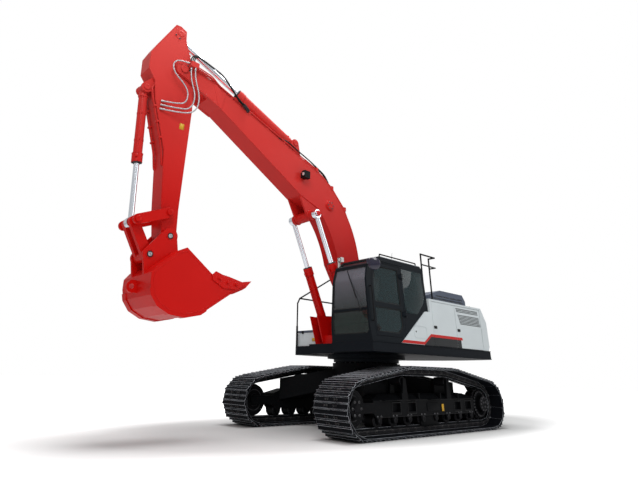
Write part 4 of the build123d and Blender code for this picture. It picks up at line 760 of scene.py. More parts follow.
# ------------------------------------------------------------ hood handle
# A bent steel bar, painted black, to lift the hood by. Its two feet are welded to the middle of the hood's
# front edge.
rail_black = enamel("rail_black", "rail_black", (0.007, 0.007, 0.008), rough=0.34, coat=0.0, shine=0.1)
grab_x, foot_x = swing_x - .745, swing_x - .800
solid_piece("hood_handle", "hood_body", rail_black,
            bent([(foot_x, .05, 2.42), (grab_x, .05, 2.43), (grab_x, .25, 2.43), (foot_x, .25, 2.42)], .010,
                 reach=.03))

# ------------------------------------------------------------ grip plates on the roof
# Three studded steel plates on the flat roof ahead of the hood, where the crew stands to service the
# engine.
roof_z = float(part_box("house_frame")[1][2])
roof_parts = []
roof_plates = ((-1.70, -.62, -1.33, -.93), (-.76, -.45, -.42, .38), (-.75, -.40, .52, 1.12))
for rear, front, right, left in roof_plates:
    plate = eased(rectangle(swing_x + rear, swing_x + front, right, left), .03, closed=True)
    roof_parts.append(slab(plate, (0, 0, roof_z - .0005), (1, 0, 0), (0, 1, 0), .0045, .002))
    roof_parts.append(studs(swing_x + np.arange(rear + .04, front - .02, .06),
                            np.arange(right + .04, left - .02, .06), roof_z + .0035, .012))
solid_piece("roof_grip", "upper", grip, *roof_parts)

# ------------------------------------------------------------ tank fillers, door latches and lock
# Moulded plastic: two screwed filler caps over the tanks, a paddle latch with a thumb plate on each service
# door, and the round lock of the flap in the side cover.
filler_cap = [(0, .055), (.010, .055), (.014, .048), (.016, .048), (.030, .045), (.036, .038), (.038, .010)]
solid_piece("tank_fillers", "upper", dark_plastic,
            turned([(swing_x - .95, -.72, roof_z), (swing_x - 1.45, -.88, roof_z)], (0, 0, 1),
                   filler_cap, 28))
paddle = oblong(.055, .028, .018)
thumb = eased(rectangle(-.040, .018, -.016, .016), .010, closed=True)
latch_z = 1.825
for name, body, x in (("front_door_latch", "left_front_door_body", swing_x - .475),
                      ("rear_door_latch", "left_rear_door_body", split_x - .085)):
    solid_piece(name, body, dark_plastic,
                slab(paddle, (x, side_y - .0005, latch_z), (-1, 0, 0), (0, 0, 1), .007, .003),
                slab(thumb, (x, side_y + .0065, latch_z), (-1, 0, 0), (0, 0, 1), .005, .002),
                turned((x - .037, side_y + .0065, latch_z), (0, 1, 0),
                       [(0, .011), (.004, .010), (.005, .004)], 16))
x = swing_x - 1.83
solid_piece("right_door_latch", "right_door_body", dark_plastic,
            slab(paddle, (x, .0005 - side_y, latch_z), (1, 0, 0), (0, 0, 1), .007, .003),
            slab(thumb, (x, -.0065 - side_y, latch_z), (1, 0, 0), (0, 0, 1), .005, .002))
solid_piece("hatch_lock", "upper", dark_plastic,
            turned((swing_x + .20, side_y - .001, 1.70), (0, 1, 0),
                   [(0, .016), (.004, .015), (.006, .006)], 20))

# ------------------------------------------------------------ fittings of the counterweight
# Two eyes bent from round bar to lift it by, a round red lamp set in either rear corner, and a small camera
# on a foot at its top that looks back over the edge.
tail_x = float(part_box("counterweight")[0][0])
half_turn = np.linspace(0, np.pi, 9)
eye_x, eye_z = swing_x - 2.47 + .055 * np.cos(half_turn), 2.363 + .075 * np.sin(half_turn)
solid_piece("lifting_lugs", "upper", black_bolt,
            *[bent(np.column_stack([eye_x, np.full(9, y), eye_z]), .014, reach=.01, sides=8)
              for y in (-1.15, 1.15)])
reflector_red = enamel("reflector_red", "red_paint", (0.45, 0.006, 0.005), rough=0.15, coat=0.5)
solid_piece("rear_lamps", "upper", reflector_red,
            *[turned((tail_x + .1522, sign * .93, 1.85), (-.935, sign * .355, 0),
                     [(-.01, .045), (.012, .045), (.020, .040), (.024, .02)], 24) for sign in (1, -1)])
solid_piece("rear_camera", "upper", dark_plastic,
            turned((tail_x + .21, 0, 2.425), (-1, 0, -.35),
                   [(-.05, .03), (.05, .03), (.056, .024), (.052, .016)], 20),
            turned((tail_x + .22, 0, 2.363), (0, 0, 1), [(0, .03), (.06, .024)], 16))

# ------------------------------------------------------------ cab shell and windows
# Rolled steel posts and a pressed roof in dark slate, with tinted safety glass in every opening and in the
# door. A painted reflection makes the glass paler in front than at the sides, and paler towards the top of
# the front. The handrails and the boom's lamp are plain black.
cab_slate = enamel("cab_slate", "cab_slate", (0.0035, 0.0065, 0.010), rough=0.32, coat=0.0, dust=0.02,
                   shine=0.10)
dress(cab_slate, "cab_shell", "cab_door")
tint = Finish("window_glass", "window_glass")
x, y, z = tint.place()
front_share = x.between(-0.05, 0.02)
# painted reflection: the front panes turn from the dark tint to a pale violet grey towards their top
front_glass_with_reflection = tint.mix(z.between(1.9, 2.6), (0.012, 0.024, 0.020, 1), (0.150, 0.148, 0.178, 1))
tint.set(Base_Color=tint.mix(front_share, (0.005, 0.023, 0.027, 1), front_glass_with_reflection), Roughness=0.04,
         Alpha=0.68 + 0.06 * noise(tint, 1.6, 2.0), Specular_IOR_Level=0.5)
dress(tint, "cab_glass", "cab_door_glass")
dress(rail_black, "right_handrail", "left_handrail", "roof_rail", "boom_lamp")
cab_foot, cab_roof = float(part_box("cab_shell")[0][2]), float(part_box("cab_shell")[1][2])
tilt = np.arctan2(0.090, 1.5377)

# ------------------------------------------------------------ window gaskets
# Black rubber strips pressed in round the panes. The side walls lean in towards the roof, and the front
# wall is bent at three heights, so the strips follow those walls.
rubber = Finish("window_rubber", "rail_black")
grain = noise(rubber, 160.0, 3.0)
rubber.set(Base_Color=rubber.mix(grain, (0.006, 0.006, 0.006, 1), (0.016, 0.016, 0.016, 1)),
           Roughness=0.55 + 0.2 * grain, Specular_IOR_Level=0.2,
           Normal=rubber.node("ShaderNodeBump", {}, {"Strength": 0.2, "Distance": 0.001, "Height": grain}))
gasket = [(-.001, -.004), (.006, -.006), (.014, -.013), (.015, -.0195), (-.001, -.0195)]
steepness = 1 / np.cos(tilt)
wall_out = np.array([0, np.cos(tilt), np.sin(tilt)])
wall_up = np.array([0, -np.sin(tilt), np.cos(tilt)])
wall_foot = np.array([0, side_y + cab_foot * np.tan(tilt), 0])
front_line_z = [cab_foot, 1.760, 2.540, 2.810, 2.955]
front_line_x = [1.500, 1.540, 1.540, 1.465, 1.290]


def respaced(outline, count=96):
    """The outline at equal steps round its edge."""
    outline = np.asarray(outline, float)
    ring = np.concatenate([outline, outline[:1]])
    reach = np.concatenate([[0], np.cumsum(np.linalg.norm(np.diff(ring, axis=0), axis=1))])
    at = np.linspace(0, reach[-1], count, endpoint=False)
    return np.stack([np.interp(at, reach, ring[:, 0]), np.interp(at, reach, ring[:, 1])], axis=1)


def left_line(window, reach):
    """An outline by x and z on the cab's left wall, eased, in lengths backwards and up along the wall."""
    return eased(np.array(window) * [-1, steepness] - [swing_x, 0], reach, closed=True)


def left_gasket(window):
    """A gasket round an opening of the left wall, which is given by x and z."""
    return rim(left_line(window, .03), wall_foot, (-1, 0, 0), wall_up, gasket)


def front_gasket(window):
    """A gasket in the front wall: its ring in y and z is pushed forward to the wall's line at each height."""
    ring = rim(respaced(eased(window, .03, closed=True)), (0, 0, 0), (0, 1, 0), (0, 0, 1), gasket)
    ring[..., 0] += swing_x + np.interp(ring[..., 2], front_line_z, front_line_x)
    return ring


front_panes = [[(.545, 2.020), (1.395, 2.020), (1.352, 2.770), (.588, 2.770)],
               [(.530, 1.640), (.575, 1.590), (1.365, 1.590), (1.410, 1.640), (1.398, 1.985), (.542, 1.985)],
               [(.620, 2.838), (1.320, 2.838), (1.308, 2.930), (.632, 2.930)]]
right_pane = np.array([(.120, 1.900), (1.440, 1.900), (1.440, 2.520), (1.380, 2.720), (1.270, 2.840),
                       (.120, 2.840)])
right_gasket = rim(eased(right_pane * [1, steepness] + [swing_x, 0], .03, closed=True),
                   (0, .480 - cab_foot * np.tan(tilt), 0), (1, 0, 0), (0, np.sin(tilt), np.cos(tilt)), gasket)
rear_gasket = rim(eased([(-.620, 2.300), (-1.320, 2.300), (-1.290, 2.830), (-.650, 2.830)], .03, closed=True),
                  (swing_x - .310, 0, 0), (0, -1, 0), (0, 0, 1), gasket)
solid_piece("cab_gaskets", "upper", rubber, *[front_gasket(pane) for pane in front_panes], right_gasket,
            rear_gasket, left_gasket(rectangle(-.030, .400, 2.290, 2.810)))
door_panes = [[(.570, 2.140), (1.335, 2.140), (1.335, 2.530), (1.285, 2.710), (1.200, 2.810), (.570, 2.810)],
              [(.570, 1.765), (.690, 1.630), (1.310, 1.630), (1.335, 1.790), (1.335, 2.060), (.570, 2.060)]]
solid_piece("door_gaskets", "cab_door_body", rubber, *[left_gasket(pane) for pane in door_panes])


# ------------------------------------------------------------ door handle, grab bar and drip rail
# A plastic pull in a dished surround low on the door, a bent steel bar on the post ahead of it, and a round
# bar welded over the door that leads rain away.
def on_wall(x, z, off=0.0):
    """A point of the cab's left wall, 'off' further out: its y falls with height by the tilt's tangent."""
    return np.array([swing_x + x, side_y - (z - cab_foot) * np.tan(tilt) + off, z])


handle_x, handle_z = 1.300, 1.690
bar_x, bar_foot, bar_head, bar_off = 1.455, 1.80, 2.40, .050
pull_surround = [(0, .052), (.006, .052), (.010, .046), (.008, .034), (.004, .030)]
solid_piece("door_handle", "cab_door_body", dark_plastic,
            turned(on_wall(handle_x, handle_z) - .001 * wall_out, wall_out, pull_surround, 28),
            slab(oblong(.040, .013, .01), on_wall(handle_x, handle_z) + .007 * wall_out, (-1, 0, 0), wall_up,
                 .012, .004))
solid_piece("cab_grab_bar", "upper", rail_black,
            bent([on_wall(bar_x, bar_foot), on_wall(bar_x, bar_foot, bar_off),
                  on_wall(bar_x, bar_head, bar_off), on_wall(bar_x, bar_head)], .011, reach=.03))
solid_piece("drip_rail", "upper", cab_slate,
            bent([on_wall(.42, 2.915, .004), on_wall(1.16, 2.915, .004), on_wall(1.300, 2.800, .004)], .009,
                 reach=.05, sides=8))

# ------------------------------------------------------------ wiper
# A moulded pivot at the foot of the upper front pane, a thin bent arm that leans over the glass, and the
# blade clipped to the arm's end.
wipe_x, pivot_y, pivot_z = swing_x + 1.540, 1.250, 2.003
solid_piece("wiper", "upper", dark_plastic,
            turned((wipe_x - .002, pivot_y, pivot_z), (1, 0, 0), [(0, .022), (.020, .020), (.026, .012)], 16),
            bent([(wipe_x + .018, pivot_y, pivot_z), (wipe_x + .022, 1.18, 2.20),
                  (wipe_x + .002, 1.05, 2.44)], .006, reach=.05, sides=8),
            slab(rectangle(-.008, .008, -.28, .28), (wipe_x - .010, 1.04, 2.46), (0, .93, .36),
                 (0, -.36, .93), .012, .003))

# ------------------------------------------------------------ quarter pane and roof strip
# A pane of the same tinted glass bonded over the wall behind the door, and a pale strip along the edge of the
# roof above it, which is a painted highlight of that edge.
quarter = [(-.225, 2.300), (-.225, 2.860), (.445, 2.860), (.445, 2.020), (.060, 2.020)]
solid_piece("quarter_pane", "upper", tint,
            slab(left_line(quarter, .035), wall_foot + .0004 * wall_out, (-1, 0, 0), wall_up, .004, .0015))
# painted highlight: a pale round strip where the roof's edge catches the light
roof_highlight_paint = enamel("roof_edge_highlight", "lamp", (0.42, 0.45, 0.48), rough=0.3, coat=0.2, dust=0.02)
solid_piece("roof_edge_highlight", "upper", roof_highlight_paint,
            bent([(swing_x + x, 1.366, 3.006) for x in (-.20, .45, 1.05)], .0075, reach=.02, sides=8))

# ------------------------------------------------------------ roof hatch and aerial
# The hatch is a raised steel lid with a broad rounded edge. The radio's aerial is a whip on a rubber foot
# that leans back.
hatch = eased(rectangle(swing_x + .30, swing_x + .88, .70, 1.24), .06, closed=True)
solid_piece("roof_hatch", "upper", cab_slate,
            slab(hatch, (0, 0, cab_roof - .001), (1, 0, 0), (0, 1, 0), .026, .012))
whip = [(0, .022), (.02, .018), (.03, .006), (.42, .003)]
solid_piece("aerial", "upper", dark_plastic,
            turned((swing_x - .16, .66, cab_roof - .002), (-.25, 0, 1), whip, 12))

# ------------------------------------------------------------ mirrors
# A large round mirror and a small wide-angle one on a stalk at the cab's front corner. Their domed backs
# are moulded in glossy violet black, and silvered glasses face the driver.
mirror_black = enamel("mirror_shell", "mirror_shell", (0.009, 0.007, 0.030), rough=0.14, coat=0.55, dust=0.0,
                      shine=0.45)
dress(mirror_black, "cab_mirrors")
mirror_axis = np.array([0.8, 0.55, -0.1])
mirror_axis /= np.linalg.norm(mirror_axis)
mirror_places = ((np.array([0.0, 1.540, 2.780]), .115), (np.array([0.0, 1.430, 2.840]), .062))
dome = np.linspace(0, np.pi / 2, 7)
solid_piece("mirror_backs", "upper", mirror_black,
            *[turned(middle + .0595 * mirror_axis, mirror_axis,
                     np.column_stack([.030 * np.sin(dome) * r / .115, r * np.maximum(np.cos(dome), .02)]), 36)
              for middle, r in mirror_places])
silvering = Finish("mirror_glass", "chrome_rod")
silver = silvering.mix(noise(silvering, 3.0, 1.0), (0.70, 0.72, 0.74, 1), (0.76, 0.78, 0.80, 1))
silvering.set(Base_Color=silver, Metallic=1.0, Roughness=0.04)
solid_piece("mirror_glasses", "upper", silvering,
            *[turned(middle + .0005 * mirror_axis, -mirror_axis,
                     [(0, r - .008), (.002, r - .009), (.003, r - .02), (.004, .01)], 36)
              for middle, r in mirror_places])

# ------------------------------------------------------------ work lamp on the roof
# A cast lamp housing in pale paint at the front of the cab's roof. It holds a domed glass inside a black
# plastic bezel.
lamp_white = enamel("lamp_white", "lamp", (0.7, 0.7, 0.68), rough=0.2, coat=0.6)
dress(lamp_white, "work_lamps")
lens = Finish("lamp_lens", "lamp")
rings = noise(lens, 26.0, 2.0)
lens.set(Base_Color=lens.mix(rings, (0.62, 0.64, 0.66, 1), (0.85, 0.86, 0.86, 1)), Roughness=0.08,
         Metallic=0.35, Coat_Weight=0.6, Specular_IOR_Level=0.6)
lamp_y, lamp_z = .645, 2.990
lens_dome = [(0, .036), (.006, .034), (.012, .022), (.014, .006)]
bezel = [(0, .043), (.010, .043), (.012, .040), (.010, .037), (.002, .036)]
solid_piece("cab_lamp_lens", "upper", lens,
            turned((swing_x + 1.4395, lamp_y, lamp_z), (1, 0, 0), lens_dome, 24))
solid_piece("cab_lamp_bezel", "upper", dark_plastic,
            turned((swing_x + 1.4390, lamp_y, lamp_z), (1, 0, 0), bezel, 24))


# ------------------------------------------------------------ seat
# Foam cushion, back and headrest in black woven cloth, each crowned by its stuffing, with channels sewn
# into the cushion and the back. They stand for the plain block of the seat.
def pad(centre, half, u, v, w, channels=(), square=0.32, count=(28, 44)):
    """A stuffed form: a ball whose cosines and sines are raised to the power 'square', so that it is a
    rounded block. Its faces are crowned outwards, its sides drawn in between the corners, and its channels
    are pressed in as narrow bell-shaped valleys at places along u."""
    lat = np.linspace(-np.pi / 2 + .05, np.pi / 2 - .05, count[0])[:, None]
    lon = np.linspace(0, 2 * np.pi, count[1], endpoint=False)[None]
    across, deep, high = np.cos(lat) * np.cos(lon), np.cos(lat) * np.sin(lon), np.sin(lat) * np.ones_like(lon)
    x, y, z = (np.sign(value) * np.abs(value) ** square for value in (across, deep, high))
    waist = 1 - 0.06 * (1 - np.abs(x * y))
    z = z * (1 + 0.25 * (1 - x ** 2) * (1 - y ** 2))
    for line in channels:
        z = z - np.sign(z) * 0.22 * np.exp(-((x - line) / 0.05) ** 2) * (np.abs(z) > 0.4)
    flat = np.stack([x * waist * half[0], y * waist * half[1], z * half[2]], axis=-1)
    return np.asarray(centre) + flat[..., :1] * u + flat[..., 1:2] * v + flat[..., 2:] * w


cloth = Finish("woven_cloth", "seat_cloth")
x, y, z = cloth.place()
thread = (abs((x * 1400.0).maths("SINE")) + abs((y * 1400.0).maths("SINE"))
          + abs((z * 1400.0).maths("SINE"))) * 0.33
wear = noise(cloth, 5.0, 3.0)
cloth.set(Base_Color=cloth.mix(thread, (0.012, 0.012, 0.014, 1), (0.055, 0.056, 0.062, 1)),
          Roughness=0.85 + 0.1 * wear, Sheen_Weight=0.2,
          Normal=cloth.node("ShaderNodeBump", {}, {"Strength": 0.35, "Distance": 0.001, "Height": thread}))
dress(cloth, "operator_seat")
seat_y, seat_z = 0.970, cab_foot + 0.0503
ex, ey, ez = np.eye(3)
back_up = np.array([-.12, 0, 1]) / np.hypot(.12, 1)
back_out = np.array([1, 0, .12]) / np.hypot(.12, 1)
cushion = solid_piece("seat_cushion", "upper", cloth,
                      pad((swing_x + .645, seat_y, seat_z + .320), (.255, .245, .058), ex, ey, ez,
                          channels=(-.45, .45)))
backrest = solid_piece("seat_back", "upper", cloth,
                       pad((swing_x + .405, seat_y, seat_z + .665), (.300, .235, .055), back_up, ey, back_out,
                           channels=(-.5, 0, .5)))
headrest = solid_piece("seat_headrest", "upper", cloth,
                       pad((swing_x + .362, seat_y, seat_z + 1.055), (.085, .125, .042),
                           back_up, ey, back_out))
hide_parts("operator_seat")

# ------------------------------------------------------------ seat base and consoles
# The suspension is a steel box, rubber bellows of eight folds and a tray under the cushion. A moulded
# console with an arm rest on a post stands at either side of the seat.
moulded = enamel("moulded_plastic", "rail_black", (0.020, 0.021, 0.023), rough=0.5, coat=0.0, dust=0.02,
                 shine=0.25)
bellows_foot, fold_high, fold_in = seat_z + .06, .022, .012


def block(x0, x1, y0, y1, z0, z1, edge=0.012):
    """A moulded block: a plan with eased corners carried up its height, rounded at the foot and the top."""
    plan = eased(rectangle(swing_x + x0, swing_x + x1, y0, y1), edge * 1.6, closed=True)
    return slab(plan, (0, 0, z0), (1, 0, 0), (0, 1, 0), z1 - z0, edge)


bellows = []
for k in range(8):
    drawn = fold_in * (k % 2)
    bellows.append(block(.46 + drawn, .84 - drawn, seat_y - .18 + drawn, seat_y + .18 - drawn,
                         bellows_foot + fold_high * k, bellows_foot + fold_high * (k + 1), .004))
solid_piece("seat_base", "upper", moulded,
            block(.44, .86, seat_y - .20, seat_y + .20, seat_z, seat_z + .06), *bellows,
            block(.40, .90, seat_y - .235, seat_y + .235, seat_z + .236, seat_z + .262))
console_y = [seat_y + .31, seat_y - .31]
console_parts = [block(.42, .93, y - .075, y + .075, seat_z + .12, seat_z + .52, .02) for y in console_y]
console_parts += [pad((swing_x + .60, y, seat_z + .600), (.16, .045, .022), ex, ey, ez, square=.4)
                  for y in console_y]
console_parts += [bent([(swing_x + .52, y, seat_z + .50), (swing_x + .52, y, seat_z + .60)], .02, steps=3)
                  for y in console_y]
solid_piece("side_consoles", "upper", moulded, *console_parts)

# ------------------------------------------------------------ joysticks
# On each console a gaiter in folds, and a hand grip moulded to the palm above it. Both lean a little
# forward.
gaiter = [(0, .045), (.012, .045), (.018, .036), (.024, .038), (.032, .028), (.040, .031), (.050, .020),
          (.058, .022), (.070, .014)]
hand_grip = [(.070, .010), (.090, .012), (.105, .020), (.130, .022), (.160, .019), (.190, .021), (.215, .024),
             (.232, .018), (.238, .006)]
stick_feet = [(swing_x + .87, y, seat_z + .518) for y in console_y]
solid_piece("joysticks", "upper", moulded, turned(stick_feet, (.12, 0, 1), gaiter, 20),
            turned(stick_feet, (.12, 0, 1), hand_grip, 20))

# ------------------------------------------------------------ travel levers and pedals
# Two bent steel levers with moulded knobs rise from the floor ahead of the seat, one for each track, and a
# tilted pedal plate lies in front of either.
travel = []
for y, pedal_y in ((seat_y + .06, seat_y + .12), (seat_y - .06, seat_y - .12)):
    travel.append(bent([(swing_x + 1.26, y, seat_z + .02), (swing_x + 1.25, y, seat_z + .30),
                        (swing_x + 1.18, y, seat_z + .62)], .009, reach=.06))
    travel.append(pad((swing_x + 1.172, y, seat_z + .645), (.018, .018, .045), ex, ey, ez, square=.6,
                      count=(12, 20)))
    travel.append(slab(oblong(.05, .11, .02), (swing_x + 1.33, pedal_y, seat_z + .13), (0, 1, 0),
                       (.75, 0, .66), .018, .006))
solid_piece("travel_levers", "upper", moulded, *travel)

# ------------------------------------------------------------ monitor, floor mat and rear shelf
# The monitor is a moulded case on a short post at the right front pillar, turned to the driver. A ribbed
# rubber mat covers the floor, and a moulded shelf fills the space behind the seat.
solid_piece("monitor", "upper", moulded,
            slab(oblong(.095, .065, .02), (swing_x + 1.33, .640, 2.22), (.34, -.94, 0), (-.25, -.09, .96),
                 .035, .010),
            bent([(swing_x + 1.36, .615, 1.98), (swing_x + 1.35, .625, 2.20)], .014, steps=3))
mat_ribs = [block(.95 + .05 * i, .97 + .05 * i, .62, 1.32, cab_foot + .061, cab_foot + .068, .003)
            for i in range(8)]
solid_piece("cab_floor", "upper", rubber,
            block(.30, 1.46, .56, 1.38, cab_foot + .0505, cab_foot + .062, .003), *mat_ribs)
solid_piece("rear_shelf", "upper", moulded, block(-.24, .26, .60, 1.34, cab_foot + .0505, 2.16, .03))

# ------------------------------------------------------------ boom, arm and bucket
# Box sections welded from steel plate, a welded bucket and forged links, all in bright red enamel. A painted
# sheen of the sky makes the enamel paler towards the top. The cylinders' rods are ground and plated with
# chrome.
red = enamel("red_enamel", "red_paint", (0.60, 0.005, 0.003), rough=0.32, coat=0.05, dull=0.04, dust=0.0,
             shine=0.12)
# painted sheen: the red is mixed towards a paler pink higher up, where the sky's light falls on it
height = red.place()[2].between(3.4, 6.6)
red.set(Base_Color=red.mix(height * 0.75, red.skin, (0.72, 0.080, 0.070, 1)))
dress(red, "boom_bracket", "boom", "arm", "bucket", "bucket_teeth", "bucket_rockers", "bucket_link",
      "boom_cylinder_barrels", "arm_cylinder_barrel", "bucket_cylinder_barrel")
chrome = Finish("chrome_rod", "chrome_rod")
grinding = noise(chrome, 60.0, 4.0, 0.6, stretch=(1, 14, 1))
chrome.set(Base_Color=chrome.mix(grinding, (0.78, 0.84, 0.93, 1), (0.93, 0.96, 1.0, 1)), Metallic=1.0,
           Roughness=0.16 + 0.1 * grinding)
dress(chrome, "boom_cylinder_rods", "arm_cylinder_rod", "bucket_cylinder_rod")


# ------------------------------------------------------------ flanges
# The side plates of boom and arm are edged with thicker flange strips. Each strip stands a few millimetres
# proud and slopes back to the plate in its fillet weld.
def at(x, y, z):
    """A place given from the slewing axis."""
    return np.array([swing_x + x, y, z])


def arc_through(p, q, r, count):
    """Points on the circle through three points: centre + radius * (cosine, sine) from p's angle to r's."""
    a, b, c = (complex(*point) for point in (p, q, r))
    w = (c - a) / (b - a)
    centre = (b - a) * (w - abs(w) ** 2) / (2j * w.imag) + a
    start, sweep = np.angle(a - centre), np.angle((c - centre) / (a - centre))
    turn = start + sweep * np.linspace(0, 1, count + 1)
    return np.column_stack([centre.real + abs(a - centre) * np.cos(turn),
                            centre.imag + abs(a - centre) * np.sin(turn)])


def on_side(outline, y, profile, sign):
    """A profile carried round an outline in x and z, on the side face at y to the left or the right."""
    flat = np.asarray(outline, float) + [swing_x, 0]
    return rim(flat * [-sign, 1], (0, sign * y, 0), (-sign, 0, 0), (0, 0, 1), profile)


# how far the side faces of boom and arm, and of the fork plates, lie from the middle
boom_side, arm_side, fork_side = .210, .175, .233
boom_line = np.concatenate([[(.310, 1.900)], arc_through((1.030, 3.070), (1.290, 3.700), (1.620, 4.120), 12),
                            [(2.140, 4.300), (4.300, 5.540), (4.560, 5.630), (4.450, 6.000)],
                            arc_through((1.640, 4.975), (.830, 4.310), (.370, 3.270), 20), [(-.005, 2.000)]])
boom_strip = [(.0015, -.002), (.0015, .005), (.0025, .006), (.019, .006), (.021, .0035), (.025, .0005),
              (.027, -.002)]
solid_piece("boom_flanges", "boom_body", red,
            *[on_side(boom_line, boom_side, boom_strip, s) for s in (1, -1)])
arm_line = [(4.905, 5.960), (4.830, 5.280), (4.825, 3.330), (4.800, 2.900), (4.860, 2.750), (4.990, 2.745),
            (5.060, 2.860), (5.140, 3.340), (5.250, 4.300), (5.560, 5.220), (5.620, 5.560), (5.770, 5.760),
            (5.790, 6.090), (5.700, 6.320), (5.400, 6.950), (5.300, 6.960), (5.170, 6.900), (5.150, 6.690),
            (5.010, 6.330), (4.930, 6.100)]
arm_strip = [(.0015, -.002), (.0015, .003), (.0025, .004), (.017, .004), (.019, .0025), (.022, .0005),
             (.024, -.002)]
solid_piece("arm_flanges", "arm_body", red, *[on_side(arm_line, arm_side, arm_strip, s) for s in (1, -1)])

# ------------------------------------------------------------ welds of boom and arm
# Fillet welds laid round the fork plates at the boom's end and round the bosses on boom and arm, painted
# over with the plates.
fork_line = [(4.300, 5.540), (4.760, 5.700), (5.050, 5.835), (5.250, 5.900), (5.310, 6.030), (5.270, 6.150),
             (5.130, 6.205), (4.930, 6.165), (4.450, 5.996)]
cover_x, cover_z = 1.270, 4.270
bead = [(.020, -.002), (.023, .003), (.027, .0045), (.031, .003), (.034, -.002)]


def boss_weld(x, z, y, sign, profile, sides):
    """A weld round a boss on the side face at y: the closed profile, spun about the boss's axis."""
    return turned(at(x, sign * y, z), (0, sign, 0), profile + profile[:1], sides)


boom_welds = [on_side(eased(fork_line, .03, closed=True), fork_side, bead, s) for s in (1, -1)]
for x, z, r in ((.150, 1.950, .150), (1.820, 3.920, .105)):
    fillet = [(0, r + .016), (.005, r + .010), (.012, r), (0, r - .004)]
    boom_welds += [boss_weld(x, z, boom_side - .001, s, fillet, 48) for s in (1, -1)]
cover_fillet = [(0, .124), (.006, .118), (.012, .110), (0, .106)]
boom_welds.append(boss_weld(cover_x, cover_z, boom_side - .001, 1, cover_fillet, 48))
solid_piece("boom_welds", "boom_body", red, *boom_welds)
arm_welds = []
for x, z, r in ((4.928, 2.860, .118), (5.020, 3.220, .075), (5.280, 6.800, .110)):
    fillet = [(0, r + .010), (.003, r + .006), (.0045, r), (0, r - .004)]
    arm_welds += [boss_weld(x, z, arm_side - .001, s, fillet, 40) for s in (1, -1)]
solid_piece("arm_welds", "arm_body", red, *arm_welds)

# ------------------------------------------------------------ pins and keepers
# Turned steel pins with a bevelled head and a sunk centre. All are painted with their plates, but the
# bucket's two stay bare on rubber seals. A keeper plate with two bolts stops three of the pins from
# turning.
pin_steel = Finish("pin_steel", "chrome_rod")
turning = noise(pin_steel, 140.0, 4.0)
pin_steel.set(Base_Color=pin_steel.mix(turning, (0.28, 0.28, 0.29, 1), (0.50, 0.50, 0.52, 1)), Metallic=0.95,
              Roughness=0.24 + 0.18 * turning)
both_sides = (1, -1)


def pin_head(x, z, y, radius, sign, thick=.012):
    """A pin's end on the side face at y: a disc, bevelled and with a sunk centre, spun about its axis."""
    return turned(at(x, sign * (y - .001), z), (0, sign, 0),
                  [(0, radius), (thick * .7, radius), (thick, radius - thick * .5), (thick, radius * .45),
                   (thick * .6, radius * .38), (thick * .6, radius * .1)], 36)


def keeper(x, z, y, radius, sign, turn):
    """A keeper plate beside a pin's head, and its two bolts' places: the plate's middle is the pin's +
    (radius + a gap) * (cosine, 0, sine), and it lies square to that way."""
    half, gap, high = .075, .012, .009
    out = np.array([np.cos(turn), 0, np.sin(turn)])
    along = np.array([np.sin(turn), 0, -np.cos(turn)])
    middle = at(x, sign * (y - .001), z) + out * (radius + gap)
    plate = slab(oblong(.02, half, .016), middle, out, sign * along, high, .002)
    return plate, [middle + along * k + [0, sign * high, 0] for k in (half - .028, .028 - half)]


pin_sets = {"boom_body": [(5.130, 6.010, .253, .080, both_sides), (2.260, 5.490, .156, .060, both_sides)],
            "arm_body": [(5.280, 6.800, .180, .072, both_sides), (5.720, 5.400, .132, .056, both_sides),
                         (5.020, 3.220, .310, .050, both_sides)],
            "upper": [(.150, 1.950, .266, .080, both_sides), (.740, 1.580, .472, .066, (-1,))],
            "boom_rod_body": [(1.820, 3.920, .435, .058, both_sides)],
            "rocker_body": [(5.520, 3.005, .310, .050, both_sides)]}
for body, heads in pin_sets.items():
    shapes = [pin_head(x, z, y, r, s) for x, z, y, r, sides in heads for s in sides]
    solid_piece("pin_heads_" + body, body, red, *shapes)
bucket_pins = [(x, z, s) for x, z in ((4.928, 2.860), (5.220, 2.520)) for s in both_sides]
solid_piece("bucket_pin_seals", "bucket_body", rubber,
            *[pin_head(x, z, .2390, .049, s, .002) for x, z, s in bucket_pins])
solid_piece("bucket_pin_heads", "bucket_body", pin_steel,
            *[pin_head(x, z, .2395, .034, s, .004) for x, z, s in bucket_pins])
for body, x, z, y, r, turn in (("boom_body", 5.130, 6.010, fork_side, .085, 2.6),
                               ("arm_body", 5.280, 6.800, arm_side, .112, -1.1),
                               ("upper", .150, 1.950, .266, .080, 2.2)):
    plates, heads = [], []
    for s in both_sides:
        plate, places = keeper(x, z, y, r, s, turn)
        plates.append(plate)
        heads += bolts(places, (0, s, 0), .024)
    solid_piece("keepers_" + body, body, red, *plates)
    solid_piece("keeper_bolts_" + body, body, black_bolt, *heads)

# ------------------------------------------------------------ cover of the boom's boss
# A turned steel lid that closes the boss on the boom's left side. Six hexagon bolts in a circle hold it, and
# it is painted with the boom.
solid_piece("boss_cover", "boom_body", red,
            turned(at(cover_x, .239, cover_z), (0, 1, 0),
                   [(0, .096), (.008, .096), (.012, .090), (.012, .03), (.008, .024)], 40))
solid_piece("boss_bolts", "boom_body", black_bolt,
            *bolts(upright_circle(at(cover_x, .2505, cover_z), .074, spaced_turns(6)), (0, 1, 0), .022))

# ------------------------------------------------------------ steel lines on the boom
# Three steel pipes, painted with the boom, from its knee to the hose block at its end. They run side by
# side on the top plate, in four steel clamps with a bolt each, and spread at the far end.
incline = np.array([2.810, 0, 1.025]) / np.hypot(2.810, 1.025)
square_on = np.array([-1.025, 0, 2.810]) / np.hypot(2.810, 1.025)


def top_line(t, y, up):
    """A place on the boom's top: its start + t * the incline + up * square on to it, at y."""
    return at(1.640, y, 4.975) + t * incline + up * square_on


